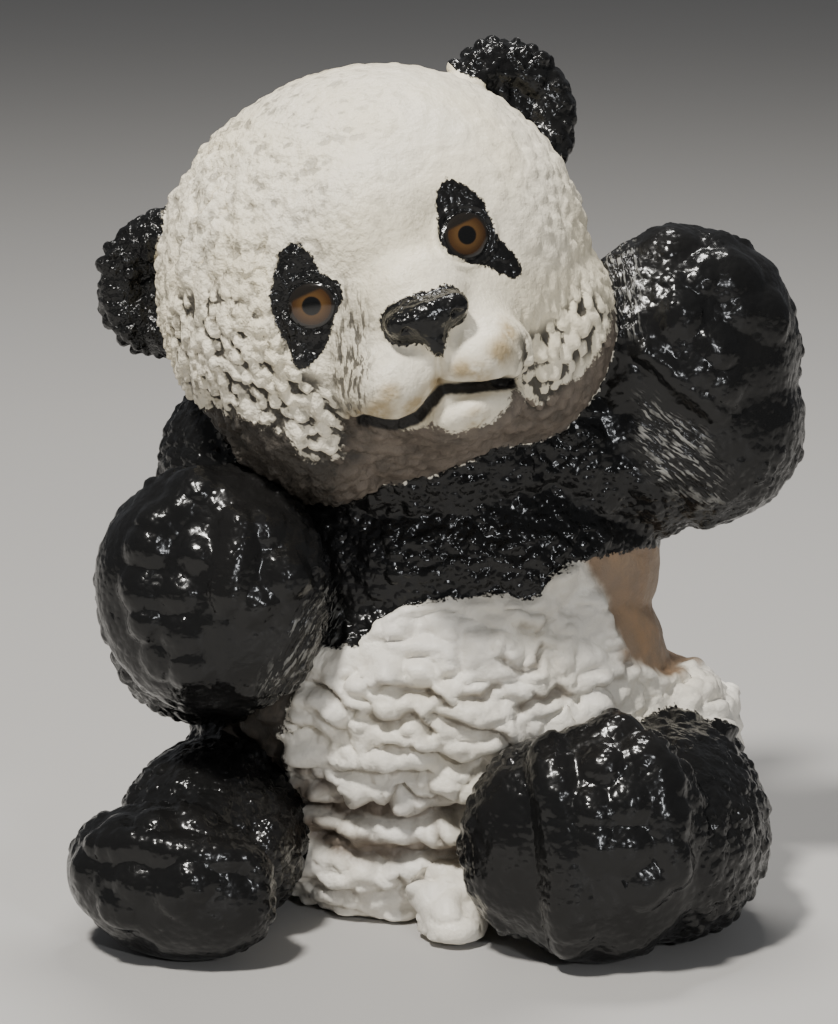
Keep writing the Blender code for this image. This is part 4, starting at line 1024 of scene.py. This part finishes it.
class Palette:
    """Short ways to the nodes that the paint is mixed from."""

    def __init__(self, tree):
        self.tree = tree
        self.place = node(tree, "ShaderNodeTexCoord", {}, {}).outputs["Object"]

    def stored(self, name):
        """A number that the skin stores under a name."""
        made = node(self.tree, "ShaderNodeAttribute", {"attribute_name": name}, {})
        return Value(self.tree, made.outputs["Fac"])

    def noise(self, size, detail=3.0, place=None):
        """Noise from 0 to 1 whose blotches are about so wide."""
        inputs = {"Vector": place or self.place, "Scale": 1 / size, "Detail": detail, "Roughness": 0.55}
        made = node(self.tree, "ShaderNodeTexNoise", {}, inputs)
        return Value(self.tree, made.outputs["Fac"])

    def cells(self, size, feature="F1", place=None):
        """How far from the middle or from the edge of cells that are about so wide."""
        inputs = {"Vector": place or self.place, "Scale": 1 / size}
        made = node(self.tree, "ShaderNodeTexVoronoi", {"feature": feature}, inputs)
        return Value(self.tree, made.outputs["Distance"])

    def stretched(self, name, shares):
        """A place that the skin stores, drawn out by a share in each direction."""
        made = node(self.tree, "ShaderNodeAttribute", {"attribute_name": name}, {})
        inputs = {0: made.outputs["Vector"], 1: shares}
        return node(self.tree, "ShaderNodeVectorMath", {"operation": "MULTIPLY"}, inputs).outputs["Vector"]

    def mix(self, share, first, second):
        """One colour over another by a share."""
        inputs = {0: share, 6: first, 7: second}
        return node(self.tree, "ShaderNodeMix", {"data_type": "RGBA"}, inputs).outputs[2]


def paint_material(settings):
    """One material for the whole cub: cream white, gloss black, washes, bare plastic and eyes, with painted
    shade in gaps, grooves, creases and the mouth.
    """
    material = bpy.data.materials.new("painted_plastic")
    material.use_nodes = True
    tree = material.node_tree
    shader = tree.nodes["Principled BSDF"]
    palette = Palette(tree)
    grain = palette.noise(0.00022, 2.0)
    blotch = palette.noise(0.0011, 3.0)
    cloud = palette.noise(0.006, 1.0)
    stored = ("black", "patch", "bare", "crevice", "stain", "mouth", "flaky", "strands", "rub", "head")
    black, patch, bare, crevice, stain, mouth, flaky, strands, rub, head = map(palette.stored, stored)
    across = node(tree, "ShaderNodeSeparateXYZ", {}, {0: palette.place})
    across = Value(tree, across.outputs[0])
    ragged = (grain - 0.5) * 1.6 + (blotch - 0.5) * 1.6
    is_black = (black + ragged).within(-0.15, 0.15)
    is_patch = (patch + (grain - 0.5) * 1.0).within(-0.1, 0.1)
    is_dark = is_black.maths("MAXIMUM", is_patch)
    is_bare = (bare + ragged * 1.2).within(-0.1, 0.4)
    is_tan = (palette.stored("tan") + (blotch - 0.5) * 2.4).within(-0.6, 1.2)
    # Painted shadow in the slit of the mouth: a dark band along its line.
    mouth_shadow = 1 - (mouth + (blotch - 0.5) * 0.9).within(0.45, 0.85)
    eye = node(tree, "ShaderNodeAttribute", {"attribute_name": "eye"}, {})
    eye = node(tree, "ShaderNodeSeparateXYZ", {}, {0: eye.outputs["Vector"]})
    sideways, upward, far = (Value(tree, output) for output in eye.outputs)
    away = (sideways * sideways + upward * upward).maths("SQRT") + far.within(*EYE_REACH) * NO_EYE
    is_eye = 1 - away.within(*EYE_EDGE)
    # The top of the iris is left dark: painted shade of the upper lid.
    is_iris = (1 - away.within(*IRIS_EDGE)) * (1 - upward.within(*LID_SHADE_EDGE))
    is_pupil = 1 - away.within(*PUPIL_EDGE)

    # Painted shade: dark grey in the gaps between the flakes of the cheeks, deeper in crevices and near the
    # bare jaw.
    flake = palette.cells(1.0, "DISTANCE_TO_EDGE", palette.stretched("comb", (0.62, 1.25, 0.9)))
    thin = bare.within(-7.0, -1.0) * 0.16
    gap = (crevice + thin + (0.12 - flake) * 0.5 + (grain - 0.5) * 0.3).within(0.60, 0.78)
    gap = gap * flaky.within(0.2, 0.8)
    streak = palette.noise(1.0, 2.0, palette.stretched("comb", (0.45, 2.4, 0.9)))
    # Painted shadow in the grooves between the strands beside the muzzle.
    groove_shade = (1 - streak.within(0.42, 0.54)) * strands
    rubbed = streak.within(0.53, 0.60) * blotch.within(0.35, 0.55) * rub

    warm = cloud.within(0.35, 0.7) * 0.35 + head * 0.65
    sunk = crevice * crevice * (1 - head) * 0.25
    brown = palette.stored("brown") * (0.75 + blotch * 0.5)
    # Ochre of real stains, and painted shade at the undersides of the muzzle's lobes.
    ochre_and_shade_share = (stain * blotch.within(0.25, 0.6) * 1.1).maths("MINIMUM", 0.9)
    washed = palette.mix(blotch.within(0.3, 0.7) * 0.5, settings.tan, settings.wash)
    # Painted shadow on the bare plastic towards the cub's left: at the jaw's left end and on the left
    # flank.
    left_shadow = 1 - across.within(-0.0065, -0.003)
    # The bare plastic darkens by painted shade in its crevices, by mottling at random, and by that painted
    # shadow at the left.
    shaded = crevice * 0.3 + (1 - blotch.within(0.3, 0.6)) * 0.45 + left_shadow * 0.75
    plastic = palette.mix(shaded.maths("MINIMUM", 0.94), settings.plastic, settings.gap)
    # The painted shade of the gaps and the grooves, and a lighter painted shade over the whole fold of
    # strands beside the muzzle.
    cut = gap.maths("MAXIMUM", groove_shade * 0.95).maths("MAXIMUM", strands * 0.28)
    dry = palette.noise(0.0008, 3.0)
    side = 1 - across.within(-0.009, 0.001)
    # Painted shade in the low places of the plaster relief on the head's left side.
    crease_shade = (1 - dry.within(0.36, 0.45)) * side * head * (1 - is_bare) * 0.5
    dark = palette.mix(cloud.within(0.4, 0.8) * 0.5, settings.black, settings.worn_black_and_slit_shade)
    dark = palette.mix(rubbed * 0.8, dark, settings.rubbed)
    amber = palette.mix(away.within(0.9, 2.1), settings.iris, settings.iris_edge)
    colour = palette.mix(warm, settings.white, settings.cream)
    for share, paint in (
        (sunk * blotch.within(0.2, 0.6), settings.wash),
        (brown.maths("MINIMUM", 0.94), settings.wash),
        (ochre_and_shade_share, settings.stain),
        (is_tan * (0.85 + cloud * 0.2), washed),
        # Bare plastic, with its painted shade.
        (is_bare, plastic),
        # Painted shade in the gaps, the grooves and the fold of strands.
        (cut * 0.94, settings.gap),
        # Painted shade in the creases of the plaster relief.
        (crease_shade, settings.gap),
        # The mouth's painted shadow, in the colour of thin black.
        (mouth_shadow, settings.worn_black_and_slit_shade),
        (is_dark, dark),
        (is_eye, EYE_DARK),
        (is_iris, amber),
        (is_pupil, PUPIL_DARK),
    ):
        colour = palette.mix(share, colour, paint)
    tree.links.new(colour, shader.inputs["Base Color"])

    rough = 0.46 + (blotch - 0.5) * 0.3
    rough = rough + is_bare * 0.12
    rough = rough * (1 - is_dark) + is_dark * (0.2 + (blotch - 0.5) * 0.16 + rubbed * 0.3)
    rough = rough * (1 - is_eye) + is_eye * 0.07
    tree.links.new(rough.socket, shader.inputs["Roughness"])
    coat = is_dark * 0.12 + is_eye * 0.7
    tree.links.new(coat.socket, shader.inputs["Coat Weight"])
    shader.inputs["Coat Roughness"].default_value = 0.12
    shader.inputs["IOR"].default_value = 1.36

    wrinkle = (cloud - 0.5).maths("ABSOLUTE").within(0.0, 0.03) * 0.00003 * head
    plaster = dry * (0.15 + side * 0.85) * head * 0.0006
    fine = grain * 0.00005 * (1 - is_dark) + blotch * 0.00008 + plaster
    fine = fine + stain * blotch * 0.00014
    pebble = palette.cells(0.00042)
    scales = is_dark * (1 - pebble.within(0.1, 0.75)) * (1 - palette.stored("palm") * 0.6) * 0.00007
    hairs = streak * (strands * 0.00022 + rub * 0.00018)
    relief = (fine + wrinkle + scales + hairs) * (1 - is_eye)
    bump = node(tree, "ShaderNodeBump", {}, {"Strength": 0.9, "Distance": 1.0, "Height": relief})
    tree.links.new(bump.outputs["Normal"], shader.inputs["Normal"])
    return material


def colour_setting(name, description, default):
    """A colour of the painted figure that a user may change."""
    bounds = {"size": 4, "min": 0.0, "max": 1.0, "subtype": "COLOR"}
    return bpy.props.FloatVectorProperty(
        name=name, description=description, default=(*default, 1.0), **bounds
    )


def power_setting(name, description, default):
    """The strength of a lamp that a user may change."""
    return bpy.props.FloatProperty(name=name, description=description, default=default, unit="POWER")


class PandaPaint(bpy.types.PropertyGroup):
    """The paints of the cub, and the tones of its painted shade."""

    white: colour_setting("White", "Cream white paint where it is cleanest", (0.80, 0.765, 0.685))
    cream: colour_setting("Cream", "Cream white paint where it is warmer", (0.78, 0.705, 0.53))
    wash: colour_setting("Wash", "Brown wash in the crevices of the wool", (0.15, 0.117, 0.088))
    # Also the tone of the painted shade under the muzzle's lobes.
    stain: colour_setting("Stain", "Ochre stain low on the muzzle", (0.36, 0.27, 0.14))
    tan: colour_setting("Tan", "Tan wash on the flanks", (0.235, 0.145, 0.078))
    plastic: colour_setting("Bare plastic", "Grey-tan plastic under the jaw", (0.185, 0.152, 0.122))
    # The dark grey of the painted shade in the flakes' gaps, the grooves, the creases and on the bare
    # plastic.
    gap: colour_setting("Gap", "Dark grey between the flakes of the cheeks", (0.034, 0.030, 0.025))
    rubbed: colour_setting("Rubbed", "Grey where the black is rubbed off the hair", (0.26, 0.255, 0.235))
    black: colour_setting("Black", "Gloss black paint", (0.007, 0.007, 0.007))
    # Also the colour of the painted shadow in the mouth's slit.
    worn_black_and_slit_shade: colour_setting("Worn black", "Black paint where it is thin", (0.014, 0.013, 0.012))
    iris: colour_setting("Iris", "Amber round the pupil", (0.088, 0.046, 0.016))
    iris_edge: colour_setting("Iris edge", "Brown at the rim of the iris", (0.040, 0.019, 0.007))


class PandaForm(bpy.types.PropertyGroup):
    """The sizes of the sculpt and of the stage."""

    voxel: bpy.props.FloatProperty(
        name="Skin fineness",
        description="Spacing of the skin's points in hundredths of the height",
        default=0.36,
        min=0.25,
        max=1.5,
    )
    triangles: bpy.props.IntProperty(
        name="Triangles", description="The most triangles the figure may have", default=196000, min=10000
    )
    floor: bpy.props.FloatProperty(
        name="Floor", description="Half the width of the pale floor", default=1.2, unit="LENGTH"
    )
    key_light: power_setting("Key light", "Strength of the lamp at the upper left", 1.9)
    fill_light: power_setting("Fill light", "Strength of the small lamp at the right", 0.3)
    top_light: power_setting("Top light", "Strength of the lamp above and behind", 0.6)


class PANDA_OT_figure(bpy.types.Operator):
    """Sculpts and paints the cub, and puts it in place of the plain solid"""

    bl_idname = "panda.figure"
    bl_label = "Sculpt and paint the cub"

    def execute(self, context):
        """Builds the one piece of the figure."""
        form = context.scene.panda_form
        figure = bpy.data.objects.new("panda_cub", blocked_out())
        context.scene.collection.objects.link(figure)
        fuse(figure, form.voxel)
        skin = Skin(figure.data)
        where = regions(skin.points)
        carve_face(skin)
        carve_paws(skin)
        brown = carve_ledges(skin, where)
        depth = carve_wool(skin, where)
        mark_paint(skin, where, depth, brown)
        thin_out(figure, form.triangles, care_for(skin.points))
        scale, middle = set_in_frame(figure)
        figure["scale"] = float(scale)
        figure["middle"] = middle.tolist()
        figure.data.shade_smooth()
        figure.data.materials.clear()
        figure.data.materials.append(paint_material(context.scene.panda_paint))
        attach(figure, "root")
        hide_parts("panda")
        return {"FINISHED"}


def soft_lamp(name, place, aim, width, power, colour):
    """A round lamp that faces a point."""
    lamp = bpy.data.lights.new(name, "AREA")
    lamp.shape = "DISK"
    lamp.size = width
    lamp.energy = power
    lamp.color = colour
    lit = bpy.data.objects.new(name, lamp)
    bpy.context.scene.collection.objects.link(lit)
    lit.location = place
    lit.rotation_euler = (Vector(aim) - Vector(place)).to_track_quat("-Z", "Y").to_euler()


class PANDA_OT_stage(bpy.types.Operator):
    """Lays the pale floor and sets the lamps and the camera"""

    bl_idname = "panda.stage"
    bl_label = "Set the stage"

    def execute(self, context):
        """Builds the floor, three lamps, the world and the camera."""
        form = context.scene.panda_form
        scene = context.scene
        figure = bpy.data.objects["panda_cub"]
        sheet = bmesh.new()
        bmesh.ops.create_grid(sheet, x_segments=1, y_segments=1, size=form.floor)
        mesh = bpy.data.meshes.new("pale_floor")
        sheet.to_mesh(mesh)
        sheet.free()
        floor = bpy.data.objects.new("pale_floor", mesh)
        scene.collection.objects.link(floor)
        paper = bpy.data.materials.new("pale_paper")
        paper.use_nodes = True
        tree = paper.node_tree
        shader = tree.nodes["Principled BSDF"]
        palette = Palette(tree)
        tone = palette.mix(palette.noise(0.02, 2.0) * 0.3, *PAPER_COLOURS)
        tree.links.new(tone, shader.inputs["Base Color"])
        shader.inputs["Roughness"].default_value = 0.55
        mesh.materials.append(paper)
        for name, (place, width, colour) in LAMPS.items():
            soft_lamp(f"{name}_lamp", place, LAMP_AIM, width, getattr(form, f"{name}_light"), colour)
        world = bpy.data.worlds.new("studio_air")
        world.use_nodes = True
        air = world.node_tree.nodes["Background"]
        air.inputs["Color"].default_value = AIR_COLOUR
        air.inputs["Strength"].default_value = AIR_STRENGTH
        scene.world = world
        share = figure["scale"]
        tilt = math.radians(VIEW_TILT)
        middle = Vector(figure["middle"])
        rise = Vector((0, math.sin(tilt), math.cos(tilt)))
        toward = Vector((0, -math.cos(tilt), math.sin(tilt)))
        target = (Vector((VIEW_CENTRE[0], 0, 0)) + rise * VIEW_CENTRE[1] - middle) * share
        lens = bpy.data.cameras.new("photo_camera")
        lens.sensor_fit = "HORIZONTAL"
        lens.sensor_width = FILM_WIDTH
        lens.lens = FILM_WIDTH * VIEW_DISTANCE / VIEW_WIDTH
        lens.clip_start = 0.005
        camera = bpy.data.objects.new("photo_camera", lens)
        scene.collection.objects.link(camera)
        camera.location = target + toward * VIEW_DISTANCE * share
        camera.rotation_euler = (math.pi / 2 - tilt, 0, 0)
        scene.camera = camera
        return {"FINISHED"}


class PANDA_PT_studio(bpy.types.Panel):
    """The cub's settings and its two steps."""

    bl_idname = "PANDA_PT_studio"
    bl_label = "Panda cub"
    bl_space_type = "VIEW_3D"
    bl_region_type = "UI"
    bl_category = "Panda"

    def draw(self, context):
        """Lists the sizes, the paints and the steps."""
        layout = self.layout
        for group in (context.scene.panda_form, context.scene.panda_paint):
            for name in group.__annotations__:
                layout.prop(group, name)
        layout.operator("panda.figure")
        layout.operator("panda.stage")


CLASSES = (PandaPaint, PandaForm, PANDA_OT_figure, PANDA_OT_stage, PANDA_PT_studio)


def register():
    """Makes the settings, the steps and the panel known."""
    for made in CLASSES:
        bpy.utils.register_class(made)
    bpy.types.Scene.panda_paint = bpy.props.PointerProperty(type=PandaPaint)
    bpy.types.Scene.panda_form = bpy.props.PointerProperty(type=PandaForm)


def unregister():
    """Takes away what register made."""
    del bpy.types.Scene.panda_form
    del bpy.types.Scene.panda_paint
    for made in reversed(CLASSES):
        bpy.utils.unregister_class(made)


def main():
    """Builds the whole scene."""
    register()
    bpy.ops.panda.figure()
    bpy.ops.panda.stage()


if __name__ == "__main__":
    main()
